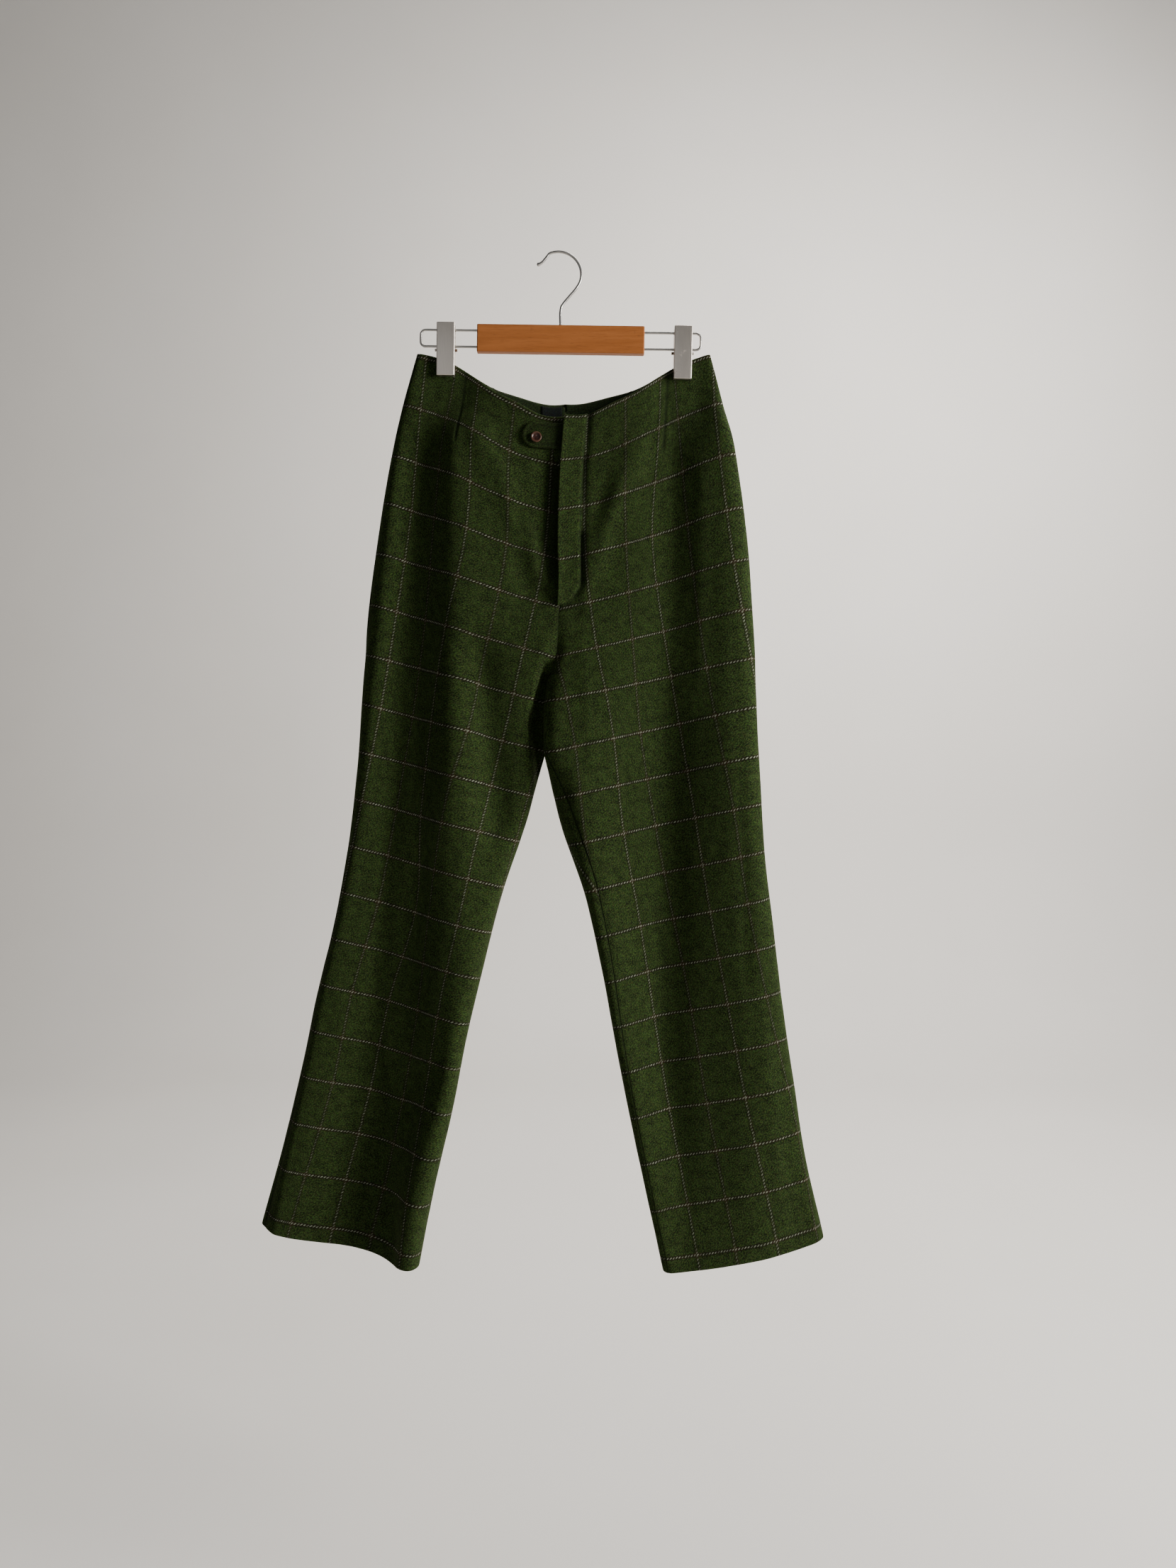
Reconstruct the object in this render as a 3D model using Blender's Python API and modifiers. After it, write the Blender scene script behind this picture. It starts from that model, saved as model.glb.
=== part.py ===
"""Checked wool trousers with straight, cropped legs, hung by the waist from a clip hanger.

Metres, +Z up. The origin is the inside top of the hanger's hook, where the hanger hangs.
The front of the trousers faces -Y, and "right" and "left" are the wearer's, so right is at -X.
"""

import math

import bmesh
import bpy
import numpy as np
from mathutils import Vector

# Cloth
CLOTH = 0.0018  # thickness of the woollen wall
SEAM_GAP = 0.0003  # left between sewn pieces
LAY = 0.0003  # left under a piece that lies on another
PANEL_LAY = 0.0006  # and under one that lies on a bent panel
BACK_RISE = 0.022  # how much higher the waist is at the back than at the front
FORK_TOP, CROTCH = 0.25, 0.315  # share of the way down where the fork opens and closes
HIP_ROWS, FORK_ROWS, LEG_ROWS = 9, 5, 19
FRONT_COLUMNS, BACK_COLUMNS = 22, 18
EDGE_CROWDING = 0.5  # how much closer the columns lie at the seams
OUTER_ROUND, INNER_ROUND = 1.6, 2.3  # length of the rounding at each edge, in its own half depths
ROUNDNESS = 2.2
DENSE = 0.5 - 0.5 * np.cos(np.linspace(0, math.pi, 141))  # shares of the way across

# Fastenings
FLY_WIDTH, FLY_LENGTH, FLY_LAP = 0.030, 0.218, 0.002
FLY_CLOTH = 0.0016
TAB_LENGTH, TAB_HEIGHT, TAB_DROP = 0.045, 0.030, 0.0245
TAB_CLOTH = 0.0024
TAB_SLOPE = 0.06
BUTTON_RADIUS, BUTTON_HEIGHT = 0.0062, 0.0028
BUTTON_FROM_END = 0.0135
FACING_DEPTH, FACING_CLOTH, FACING_FROM = 0.032, 0.0009, 0.46
PATCH_WIDTH, PATCH_HEIGHT, PATCH_CLOTH = 0.024, 0.013, 0.0005
PATCH_FROM_SEAM, PATCH_DROP = 0.004, 0.004

# Hanger
HANGER_TILT = math.radians(0.8)
HANGER_X, HANGER_Z = 0.0025, -0.1004
WIRE_RADIUS = 0.0014
HOOK_RADIUS, HOOK_ARC = 0.0016, 0.0262
HOOK_CENTRE_Z = HOOK_RADIUS - HOOK_ARC
HOOK_END_SWELL = 1.4  # the tip's radius, in the wire's own
BAR_LENGTH, BAR_HEIGHT, BAR_THICKNESS = 0.1935, 0.032, 0.0095
LOOP_LENGTH, LOOP_HEIGHT, LOOP_CORNER = 0.3265, 0.0190, 0.0055
SOCKET_DEPTH, WIRE_CLEARANCE = 0.014, 0.0003
CLIP_WIDTH, CLIP_HEIGHT, CLIP_SHEET = 0.0208, 0.0615, 0.0009
CLIP_DEPTH, CLIP_SEAT = 0.0052, 0.0026
SLIDER_LENGTH, SLIDER_SHEET = 0.012, 0.0008
BOSS_HEIGHT = 0.007  # of the blocks on the slider that carry the jaws
PIN_RADIUS, PIN_REACH = 0.0015, 0.0025  # the clip's pin, and how far it stands out of each side
CLIPS = {  # x and z of the middle, and tilt, of each clip
    "right": (-0.1300, -0.1128, math.radians(0.5)),
    "left": (0.1435, -0.1169, math.radians(1.3)),
}

# The edges of each half, from the waist (down 0) to the hem (down 1), where the cloth lies flat.
# The outer edge is the side of the leg. The inner one is the centre seam, then the inside of the leg.
EDGE_COLUMNS = ("down", "outer_x", "outer_z", "inner_x", "inner_z")
EDGES = {
    "right": (
        (0.000, -0.1640, -0.1164, 0.0074, -0.1927),
        (0.066, -0.1820, -0.1829, 0.0025, -0.2534),
        (0.145, -0.1984, -0.2624, 0.0000, -0.3288),
        (0.225, -0.2107, -0.3428, 0.0000, -0.4059),
        (0.290, -0.2189, -0.4075, -0.0033, -0.4699),
        (0.315, -0.2214, -0.4330, -0.0074, -0.4920),
        (0.345, -0.2230, -0.4633, -0.0107, -0.5191),
        (0.371, -0.2255, -0.4895, -0.0123, -0.5453),
        (0.470, -0.2329, -0.5888, -0.0320, -0.6404),
        (0.572, -0.2444, -0.6913, -0.0640, -0.7396),
        (0.653, -0.2591, -0.7733, -0.0853, -0.8184),
        (0.735, -0.2796, -0.8553, -0.1058, -0.8987),
        (0.816, -0.2960, -0.9373, -0.1197, -0.9774),
        (0.898, -0.3149, -1.0193, -0.1378, -1.0562),
        (1.000, -0.3428, -1.1218, -0.1587, -1.1546),
    ),
    "left": (
        (0.000, 0.1755, -0.1173, 0.0074, -0.1927),
        (0.066, 0.1927, -0.1845, 0.0025, -0.2534),
        (0.145, 0.2075, -0.2649, 0.0000, -0.3288),
        (0.225, 0.2181, -0.3469, 0.0000, -0.4059),
        (0.290, 0.2222, -0.4133, -0.0033, -0.4699),
        (0.315, 0.2239, -0.4387, -0.0074, -0.4920),
        (0.345, 0.2255, -0.4690, -0.0115, -0.5207),
        (0.371, 0.2263, -0.4953, -0.0148, -0.5486),
        (0.470, 0.2312, -0.5970, -0.0016, -0.6462),
        (0.572, 0.2370, -0.7011, 0.0320, -0.7478),
        (0.653, 0.2476, -0.7831, 0.0500, -0.8274),
        (0.735, 0.2583, -0.8667, 0.0648, -0.9077),
        (0.816, 0.2706, -0.9496, 0.0804, -0.9881),
        (0.898, 0.2837, -1.0332, 0.0976, -1.0709),
        (1.000, 0.3075, -1.1382, 0.1197, -1.1734),
    ),
}

# How far the front and back stand off the middle of the cloth at each side of a half, the depth of the
# middle at each edge, and how far the side seam and the inseam lie round onto the front.
DEPTH_COLUMNS = (
    "down", "front_outer", "front_inner", "back_outer", "back_inner",
    "outer_y", "inner_y", "side_seam", "inseam",
)
DEPTHS = {
    "right": (
        (0.000, 0.0045, 0.0130, 0.0045, 0.0140, 0.000, 0.000, 0.004, 0.000),
        (0.066, 0.0065, 0.0150, 0.0070, 0.0160, 0.000, 0.000, 0.004, 0.000),
        (0.145, 0.0085, 0.0170, 0.0100, 0.0180, 0.000, 0.000, 0.004, 0.000),
        (0.225, 0.0100, 0.0180, 0.0120, 0.0190, 0.000, 0.000, 0.003, 0.000),
        (0.315, 0.0105, 0.0180, 0.0125, 0.0180, 0.000, 0.000, 0.003, 0.000),
        (0.371, 0.0100, 0.0160, 0.0120, 0.0150, 0.000, 0.007, 0.003, 0.000),
        (0.470, 0.0090, 0.0150, 0.0110, 0.0140, 0.000, 0.005, 0.004, 0.000),
        (0.600, 0.0080, 0.0130, 0.0100, 0.0140, 0.000, -0.003, 0.006, 0.000),
        (0.800, 0.0070, 0.0110, 0.0090, 0.0150, 0.000, -0.010, 0.008, 0.000),
        (1.000, 0.0065, 0.0100, 0.0090, 0.0160, 0.000, -0.014, 0.008, 0.000),
    ),
    "left": (
        (0.000, 0.0045, 0.0130, 0.0045, 0.0140, 0.000, 0.000, 0.000, 0.000),
        (0.066, 0.0070, 0.0150, 0.0070, 0.0160, 0.000, 0.000, 0.000, 0.000),
        (0.145, 0.0095, 0.0170, 0.0100, 0.0180, 0.000, 0.000, 0.000, 0.000),
        (0.225, 0.0110, 0.0180, 0.0120, 0.0190, 0.000, 0.000, 0.000, 0.000),
        (0.315, 0.0120, 0.0180, 0.0125, 0.0180, 0.000, 0.000, 0.000, 0.000),
        (0.371, 0.0120, 0.0165, 0.0125, 0.0150, 0.000, -0.006, 0.000, 0.008),
        (0.470, 0.0115, 0.0145, 0.0120, 0.0135, 0.000, -0.006, 0.000, 0.026),
        (0.600, 0.0110, 0.0125, 0.0110, 0.0130, 0.000, -0.006, 0.000, 0.022),
        (0.800, 0.0105, 0.0110, 0.0100, 0.0125, 0.001, -0.007, 0.000, 0.014),
        (1.000, 0.0100, 0.0100, 0.0100, 0.0120, 0.003, -0.008, 0.000, 0.011),
    ),
}

# Folds: the line of each crest from its top to its foot, the width of the flank on either side of it,
# and how far it stands out of the face at each end. A negative rise is a valley.
FOLD_COLUMNS = (
    "face", "top_x", "top_z", "foot_x", "foot_z", "flank_right", "flank_left", "rise_top", "rise_foot",
)
FOLDS = (
    ("front", -0.1120, -0.1700, -0.1700, -1.2200, 0.021, 0.070, 0.0070, 0.0170),
    ("front", -0.1720, -0.4200, -0.2420, -1.2200, 0.030, 0.022, -0.0020, -0.0050),
    ("front", -0.1080, -0.1750, -0.0040, -0.4150, 0.016, 0.018, 0.0050, 0.0040),
    ("front", -0.0500, -0.2600, -0.0300, -0.4300, 0.014, 0.012, -0.0030, -0.0030),
    ("front", -0.0660, -0.4500, -0.0620, -0.6000, 0.016, 0.016, -0.0040, -0.0030),
    ("front", 0.1800, -0.1900, 0.1880, -1.2200, 0.022, 0.040, 0.0050, 0.0090),
    ("front", 0.1300, -0.1900, 0.1330, -1.2200, 0.026, 0.020, -0.0020, -0.0060),
    ("front", 0.1080, -0.1850, 0.0180, -0.4200, 0.018, 0.016, 0.0045, 0.0040),
    ("front", 0.0660, -0.2400, 0.0340, -0.3400, 0.011, 0.011, -0.0030, -0.0030),
    ("back", -0.1550, -0.1800, -0.2550, -1.2200, 0.030, 0.026, 0.0050, 0.0080),
    ("back", -0.1050, -0.2200, -0.0200, -0.5200, 0.022, 0.020, 0.0050, 0.0040),
    ("back", -0.1300, -0.4500, -0.2100, -1.2200, 0.024, 0.026, -0.0030, -0.0045),
    ("back", 0.1480, -0.1900, 0.2350, -1.2200, 0.028, 0.030, 0.0050, 0.0085),
    ("back", 0.1000, -0.2200, 0.0180, -0.5200, 0.020, 0.024, 0.0045, 0.0040),
    ("back", 0.1100, -0.4600, 0.1700, -1.2200, 0.026, 0.024, -0.0030, -0.0045),
)
FOLD_FADE = 0.060  # length over which a fold starts and ends

# The clips press both layers flat
PINCH_HALF_WIDTH, PINCH_SPREAD, PINCH_RUNOUT = 0.013, 0.020, 0.050
PINCHED_HALF = CLOTH + 0.0003

# Height of the waist edge over a straight line from the side to the centre: two waves that die away
# down the cloth
WAIST_WAVES = {"right": (0.0112, 0.0071), "left": (0.0085, 0.0080)}
WAVE_RUNOUT = 0.11
HEM_BOW, HEM_BOW_RUNOUT = 0.006, 0.05  # how far a hem bows down between its seams

COLOURS = {
    "wool": (0.045, 0.085, 0.020, 1.0),
    "facing": (0.018, 0.024, 0.016, 1.0),
    "patch": (0.050, 0.055, 0.055, 1.0),
    "button": (0.110, 0.035, 0.022, 1.0),
    "wood": (0.400, 0.120, 0.030, 1.0),
    "wire": (0.620, 0.600, 0.570, 1.0),
    "steel": (0.450, 0.430, 0.400, 1.0),
    "rust": (0.120, 0.055, 0.030, 1.0),
}


def clear_scene():
    for thing in list(bpy.data.objects):
        bpy.data.objects.remove(thing)


def make_collection(name):
    collection = bpy.data.collections.new(name)
    bpy.context.scene.collection.children.link(collection)
    return collection


def make_material(name, colour, roughness, metallic=0.0):
    material = bpy.data.materials.new(name)
    material.use_nodes = True
    shader = material.node_tree.nodes["Principled BSDF"]
    shader.inputs["Base Color"].default_value = colour
    shader.inputs["Roughness"].default_value = roughness
    shader.inputs["Metallic"].default_value = metallic
    return material


def place(thing, material, smooth=True):
    """Puts an object in the part's collection, with its material."""
    for collection in list(thing.users_collection):
        collection.objects.unlink(thing)
    parts.objects.link(thing)
    thing.data.materials.clear()
    thing.data.materials.append(material)
    if smooth and thing.type == "MESH":
        thing.data.shade_smooth()
        thing.data.set_sharp_from_angle(angle=math.radians(40))
    return thing


# ---------------------------------------------------------------- the shape of the cloth


def table(rows, columns):
    """A table as a dict from each column's name to its values."""
    return dict(zip(columns, np.array(rows, float).T))


def smooth_between(stations, values, at):
    """A smooth curve through values given at stations, read at one place."""
    slopes = np.gradient(values, stations)
    k = int(np.clip(np.searchsorted(stations, at) - 1, 0, len(stations) - 2))
    span = stations[k + 1] - stations[k]
    t = (at - stations[k]) / span
    return (
        (2 * t**3 - 3 * t**2 + 1) * values[k]
        + (t**3 - 2 * t**2 + t) * span * slopes[k]
        + (3 * t**2 - 2 * t**3) * values[k + 1]
        + (t**3 - t**2) * span * slopes[k + 1]
    )


def step(x):
    """0 below 0, 1 above 1, and smooth between."""
    x = np.clip(x, 0, 1)
    return x * x * (3 - 2 * x)


EDGE = {side: table(rows, EDGE_COLUMNS) for side, rows in EDGES.items()}
DEPTH = {side: table(rows, DEPTH_COLUMNS) for side, rows in DEPTHS.items()}


def edge_at(side, name, down):
    return smooth_between(EDGE[side]["down"], EDGE[side][name], down)


def depth_at(side, name, down):
    return smooth_between(DEPTH[side]["down"], DEPTH[side][name], down)


def closing(down):
    """How far a half's section has closed at its inner end: 0 open, 1 a closed leg."""
    w = np.clip((down - FORK_TOP) / (CROTCH - FORK_TOP), 0, 1)
    open_share = math.sqrt(1 - w * w)
    return (1 - open_share**ROUNDNESS) ** (1 / ROUNDNESS)


def rounding(side, face, share, down, width):
    """How much of its full depth a face has at each share of the way across."""
    outer_part = OUTER_ROUND * depth_at(side, face + "_outer", down) / width
    inner_part = INNER_ROUND * depth_at(side, face + "_inner", down) / width
    outer = 1 - np.clip(share / outer_part, 0, 1)
    inner = np.clip((share - 1 + inner_part) / inner_part, 0, 1) * closing(down)
    return (1 - outer**ROUNDNESS) ** (1 / ROUNDNESS) * (1 - inner**ROUNDNESS) ** (1 / ROUNDNESS)


def pinch(x, z):
    """1 where a clip grips the cloth, 0 well away from the clips."""
    total = 0
    for middle_x, middle_z, _ in CLIPS.values():
        across = np.maximum(np.abs(x - middle_x) - PINCH_HALF_WIDTH, 0) / PINCH_SPREAD
        jaw_foot = middle_z - CLIP_HEIGHT / 2
        below = np.maximum(jaw_foot - z, 0) / PINCH_RUNOUT
        total = total + np.exp(-(across**2) - below**2)
    return np.minimum(total, 1)


def folds(face, x, z):
    """How far the folds stand out of a face."""
    total = np.zeros_like(x)
    for row in FOLDS:
        fold = dict(zip(FOLD_COLUMNS, row))
        if fold["face"] != face:
            continue
        along = (fold["top_z"] - z) / (fold["top_z"] - fold["foot_z"])
        crest = fold["top_x"] + (fold["foot_x"] - fold["top_x"]) * along
        flank = np.where(x < crest, fold["flank_right"], fold["flank_left"])
        rise = fold["rise_top"] + (fold["rise_foot"] - fold["rise_top"]) * np.clip(along, 0, 1)
        fade = step((fold["top_z"] - z) / FOLD_FADE) * step((z - fold["foot_z"]) / FOLD_FADE)
        total += rise * fade * np.exp(-(((x - crest) / flank) ** 2))
    return total


def surface(side, face, share, down):
    """Points of one face of one half, share of the way from the outer edge to the inner one."""
    outer_x, outer_z = edge_at(side, "outer_x", down), edge_at(side, "outer_z", down)
    inner_x, inner_z = edge_at(side, "inner_x", down), edge_at(side, "inner_z", down)
    inner_x += SEAM_GAP / 2 * (-1 if side == "right" else 1)
    x = outer_x + (inner_x - outer_x) * share
    first, second = WAIST_WAVES[side]
    wave = first * np.sin(2 * math.pi * share) - second * np.sin(math.pi * share)
    z = outer_z + (inner_z - outer_z) * share + wave * math.exp(-down / WAVE_RUNOUT)
    z = z - HEM_BOW * (1 - (2 * share - 1) ** 4) * math.exp((down - 1) / HEM_BOW_RUNOUT)
    if face == "back":
        z = z + BACK_RISE * step((share - 0.25) / 0.6) * (1 - step(down / CROTCH))
    outward = -1 if face == "front" else 1
    across = step((share - 0.15) / 0.6)
    middle_y = depth_at(side, "outer_y", down) + step((share - 0.45) / 0.5) * (
        depth_at(side, "inner_y", down) - depth_at(side, "outer_y", down)
    )
    half = depth_at(side, face + "_outer", down) * (1 - across)
    half = half + depth_at(side, face + "_inner", down) * across + folds(face, x, z)
    half = np.maximum(half, PINCHED_HALF)
    pressed = pinch(x, z)
    half = half * (1 - pressed) + PINCHED_HALF * pressed
    rounded = half * rounding(side, face, share, down, abs(inner_x - outer_x))
    y = middle_y * (1 - pressed) + outward * rounded
    return np.stack([x, y, z], 1)


def lengths(points):
    steps = np.linalg.norm(np.diff(points, axis=0), axis=1)
    return np.concatenate([[0], np.cumsum(steps)])


def section(side, face, down):
    """One half's section at a height: its points in order past both edges of this face, their distances
    from the outer edge along the cloth, and the length of the face."""
    this = surface(side, face, DENSE, down)
    other = surface(side, "back" if face == "front" else "front", DENSE, down)
    if closing(down) >= 1:
        tail = other[::-1][1:]
    else:
        tail = this[-1:] + (this[-1:] - this[-2:-1]) * 60
    points = np.concatenate([other[::-1][:-1], this, tail])
    distance = lengths(points) - lengths(other)[-1]
    return points, distance, lengths(this)[-1]


def read(points, distance, at):
    return np.stack([np.interp(at, distance, points[:, k]) for k in range(3)], 1)


def outward_normals(points, distance, at, face):
    """The level direction out of the cloth at each place along a section."""
    reach = 0.0008
    tangent = read(points, distance, at + reach) - read(points, distance, at - reach)
    normal = np.stack([tangent[:, 1], -tangent[:, 0], np.zeros(len(at))], 1)
    normal /= np.linalg.norm(normal, axis=1)[:, None]
    middle = normal[len(normal) // 2, 1]
    return normal if (middle < 0) == (face == "front") else -normal


def panel_ends(side, face, down, face_length):
    """Where a panel starts and ends along its face: the side seam and the inner seam."""
    side_seam = depth_at(side, "side_seam", down)
    inseam = depth_at(side, "inseam", down) if closing(down) >= 1 else 0
    if face == "front":
        return side_seam + SEAM_GAP / 2, face_length - max(inseam, 0) - SEAM_GAP / 2
    return -side_seam + SEAM_GAP / 2, face_length + max(inseam, 0) - SEAM_GAP / 2


def crowded(count, amount):
    """Even shares from 0 to 1, drawn towards both ends."""
    k = np.linspace(0, 1, count)
    return k - amount * np.sin(2 * math.pi * k) / (2 * math.pi)


def row_places():
    hips = np.linspace(0, FORK_TOP, HIP_ROWS)
    fork = np.linspace(FORK_TOP, CROTCH, FORK_ROWS)[1:]
    legs = CROTCH + (1 - CROTCH) * np.linspace(0, 1, LEG_ROWS + 1)[1:] ** 1.2
    return np.concatenate([hips, fork, legs])


def panel_grid(side, face, columns):
    """Outer points and outward normals of a panel, row by row."""
    outer, normals = [], []
    for down in row_places():
        points, distance, length = section(side, face, down)
        start, end = panel_ends(side, face, down, length)
        at = start + (end - start) * crowded(columns, EDGE_CROWDING)
        outer.append(read(points, distance, at))
        normals.append(outward_normals(points, distance, at, face))
    return np.array(outer), np.array(normals)


def sheet_solid(name, top, bottom, material):
    """A closed wall between two grids of points, top on the outer side."""
    rows, columns = top.shape[:2]
    count = rows * columns
    points = np.concatenate([top.reshape(-1, 3), bottom.reshape(-1, 3)])
    faces = []
    for i in range(rows - 1):
        for j in range(columns - 1):
            a, b = i * columns + j, i * columns + j + 1
            c, d = b + columns, a + columns
            faces += [(a, b, c, d), (count + d, count + c, count + b, count + a)]
    rim = [j for j in range(columns)]
    rim += [i * columns + columns - 1 for i in range(1, rows)]
    rim += [(rows - 1) * columns + j for j in range(columns - 2, -1, -1)]
    rim += [i * columns for i in range(rows - 2, 0, -1)]
    for a, b in zip(rim, rim[1:] + rim[:1]):
        faces.append((a, count + a, count + b, b))
    mesh = bpy.data.meshes.new(name)
    mesh.from_pydata(points.tolist(), [], faces)
    made = bmesh.new()
    made.from_mesh(mesh)
    bmesh.ops.recalc_face_normals(made, faces=made.faces)
    bmesh.ops.triangulate(made, faces=made.faces)
    made.to_mesh(mesh)
    made.free()
    return place(bpy.data.objects.new(name, mesh), material)


def make_panels():
    grids = {}
    for side in ("right", "left"):
        for face, columns in (("front", FRONT_COLUMNS), ("back", BACK_COLUMNS)):
            outer, normals = panel_grid(side, face, columns)
            sheet_solid(f"{face}_{side}", outer, outer - normals * CLOTH, wool)
            grids[face, side] = outer, normals
    return grids


def on_face(side, face, x, z, lift):
    """The point of a face above a place x, z, lifted out of the cloth, and the normal there."""
    low, high = 0.0, 1.0
    for _ in range(40):
        down = (low + high) / 2
        outer_x, inner_x = edge_at(side, "outer_x", down), edge_at(side, "inner_x", down)
        share = (x - outer_x) / (inner_x - outer_x)
        if surface(side, face, np.array([share]), down)[0, 2] > z:
            low = down
        else:
            high = down
    reach = 0.01
    here = surface(side, face, np.array([share - reach, share, share + reach]), down)
    above = surface(side, face, np.array([share]), max(down - reach, 0))[0]
    below = surface(side, face, np.array([share]), down + reach)[0]
    normal = np.cross(here[2] - here[0], below - above)
    normal /= np.linalg.norm(normal)
    if (normal[1] < 0) != (face == "front"):
        normal = -normal
    return here[1] + normal * lift, normal


# ---------------------------------------------------------------- fastenings


def make_fly():
    """A raised strip on the left front, from the waist to its J-shaped foot, a little over the centre."""
    rows, columns = 14, 7
    top, bottom = [], []
    foot = FLY_LENGTH - FLY_WIDTH * 0.95
    waist_z = edge_at("left", "inner_z", 0)
    for i in range(rows):
        drop = FLY_LENGTH * (i / (rows - 1)) ** 0.85
        bend = np.clip((drop - foot) / (FLY_LENGTH - foot), 0, 1)
        width = FLY_WIDTH * max(math.sqrt(1 - bend * bend), 0.10)
        down = np.interp(
            waist_z - drop, EDGE["left"]["inner_z"][::-1], EDGE["left"]["down"][::-1]
        )
        points, distance, length = section("left", "front", down)
        at = length + FLY_LAP - np.linspace(0, width + FLY_LAP, columns)
        outer = read(points, distance, at)
        normals = outward_normals(points, distance, at, "front")
        bottom.append(outer + normals * PANEL_LAY)
        top.append(outer + normals * (PANEL_LAY + FLY_CLOTH))
    sheet_solid("fly_placket", np.array(top), np.array(bottom), wool)


def make_tab():
    """A round-ended tab from the fly's edge across the right front, and the button near its end."""
    columns, rows = 13, 9
    centre_z, centre_x = EDGE["right"]["inner_z"][::-1], EDGE["right"]["inner_x"][::-1]
    middle_z = edge_at("right", "inner_z", 0) - TAB_DROP
    end_radius = TAB_HEIGHT / 2
    straight = TAB_LENGTH - end_radius
    top, bottom = [], []
    for j in range(columns):
        angle = math.pi / 2 * j / (columns - 1)
        along = TAB_LENGTH * math.sin(angle) ** 0.8
        bend = np.clip((along - straight) / end_radius, 0, 1)
        half = end_radius * max(math.sqrt(1 - bend * bend), 0.12)
        low_line, high_line = [], []
        for k in np.linspace(-1, 1, rows):
            z = middle_z + TAB_SLOPE * along + half * k
            x = np.interp(z, centre_z, centre_x) - FLY_LAP - 2 * SEAM_GAP - along
            low, normal = on_face("right", "front", x, z, PANEL_LAY)
            low_line.append(low)
            high_line.append(low + normal * TAB_CLOTH)
        bottom.append(low_line)
        top.append(high_line)
    sheet_solid("waist_tab", np.array(top), np.array(bottom), wool)
    button_along = TAB_LENGTH - BUTTON_FROM_END
    button_z = middle_z + TAB_SLOPE * button_along
    button_x = np.interp(button_z, centre_z, centre_x) - FLY_LAP - button_along
    seat = PANEL_LAY + TAB_CLOTH + PANEL_LAY
    return on_face("right", "front", button_x, button_z, seat)


def turned(name, profile, material, sides):
    """A round piece from its profile of (radius, height) pairs, from the foot's axis to the top's."""
    mesh = bpy.data.meshes.new(name)
    outline = [(radius, 0, height) for radius, height in profile]
    mesh.from_pydata(outline, [(k, k + 1) for k in range(len(outline) - 1)], [])
    thing = bpy.data.objects.new(name, mesh)
    place(thing, material)
    screw = thing.modifiers.new("turn", "SCREW")
    screw.steps = screw.render_steps = sides
    screw.use_merge_vertices = True
    screw.merge_threshold = 0.00001
    screw.use_normal_calculate = True
    return thing


def make_button(seat, normal):
    radius, height = BUTTON_RADIUS, BUTTON_HEIGHT
    profile = (
        (0.0, height * 0.62),
        (radius * 0.60, height * 0.62),
        (radius * 0.72, height * 0.90),
        (radius * 0.84, height),
        (radius * 0.96, height * 0.88),
        (radius, height * 0.60),
        (radius * 0.90, height * 0.15),
        (radius * 0.70, 0.0),
        (0.0, 0.0),
    )
    button = turned("tab_button", profile, horn, 28)
    button.rotation_mode = "QUATERNION"
    button.rotation_quaternion = Vector(normal).to_track_quat("Z", "Y")
    button.location = seat


def back_strip(lift, thickness, rows, drop, shares):
    """Points inside the back waist: rows down from the edge, columns from the right to the left."""
    near, far = [], []
    for i in range(rows):
        near_line, far_line = [], []
        for side, share in shares:
            top_z = surface(side, "back", np.array([share]), 0)[0, 2]
            outer_x, inner_x = edge_at(side, "outer_x", 0), edge_at(side, "inner_x", 0)
            x = outer_x + (inner_x - outer_x) * share
            z = top_z - 0.0006 - drop[0] - (drop[1] - drop[0]) * i / (rows - 1)
            inner, normal = on_face(side, "back", x, z, -CLOTH - lift)
            near_line.append(inner)
            far_line.append(inner - normal * thickness)
        near.append(near_line)
        far.append(far_line)
    return np.array(near), np.array(far)


def make_facing():
    shares = [("right", s) for s in np.linspace(FACING_FROM, 0.998, 11)]
    shares += [("left", s) for s in np.linspace(0.998, FACING_FROM, 11)]
    near, far = back_strip(PANEL_LAY, FACING_CLOTH, 4, (0, FACING_DEPTH), shares)
    sheet_solid("back_waist_facing", near, far, lining)
    width = edge_at("right", "inner_x", 0) - edge_at("right", "outer_x", 0)
    last = 1 - PATCH_FROM_SEAM / width
    shares = [("right", s) for s in np.linspace(last - PATCH_WIDTH / width, last, 6)]
    lift = PANEL_LAY + FACING_CLOTH + LAY
    drop = (PATCH_DROP, PATCH_DROP + PATCH_HEIGHT)
    near, far = back_strip(lift, PATCH_CLOTH, 3, drop, shares)
    sheet_solid("inside_patch", near, far, label_cloth)


# ---------------------------------------------------------------- hanger


def tube(name, points, radius, material, sides=2):
    """A wire along a line of points, as a curve with a round bevel and closed ends."""
    curve = bpy.data.curves.new(name, "CURVE")
    curve.dimensions = "3D"
    curve.bevel_depth = radius
    curve.bevel_resolution = sides
    curve.use_fill_caps = True
    line = curve.splines.new("POLY")
    line.points.add(len(points) - 1)
    for point, place_at in zip(line.points, points):
        point.co = (*place_at, 1)
    return place(bpy.data.objects.new(name, curve), material)


def arc(centre, radius, start, end, steps):
    angles = np.radians(np.linspace(start, end, steps))
    return [(centre[0] + radius * math.cos(a), 0, centre[1] + radius * math.sin(a)) for a in angles]


def tilted(point):
    """A place on the hanger, turned by the hanger's tilt about its middle."""
    x, y, z = point
    cos, sin = math.cos(HANGER_TILT), math.sin(HANGER_TILT)
    return (HANGER_X + x * cos + z * sin, y, HANGER_Z - x * sin + z * cos)


def along_hanger(side):
    """How far along the hanger a clip's middle is."""
    return (CLIPS[side][0] - HANGER_X) / math.cos(HANGER_TILT)


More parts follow.
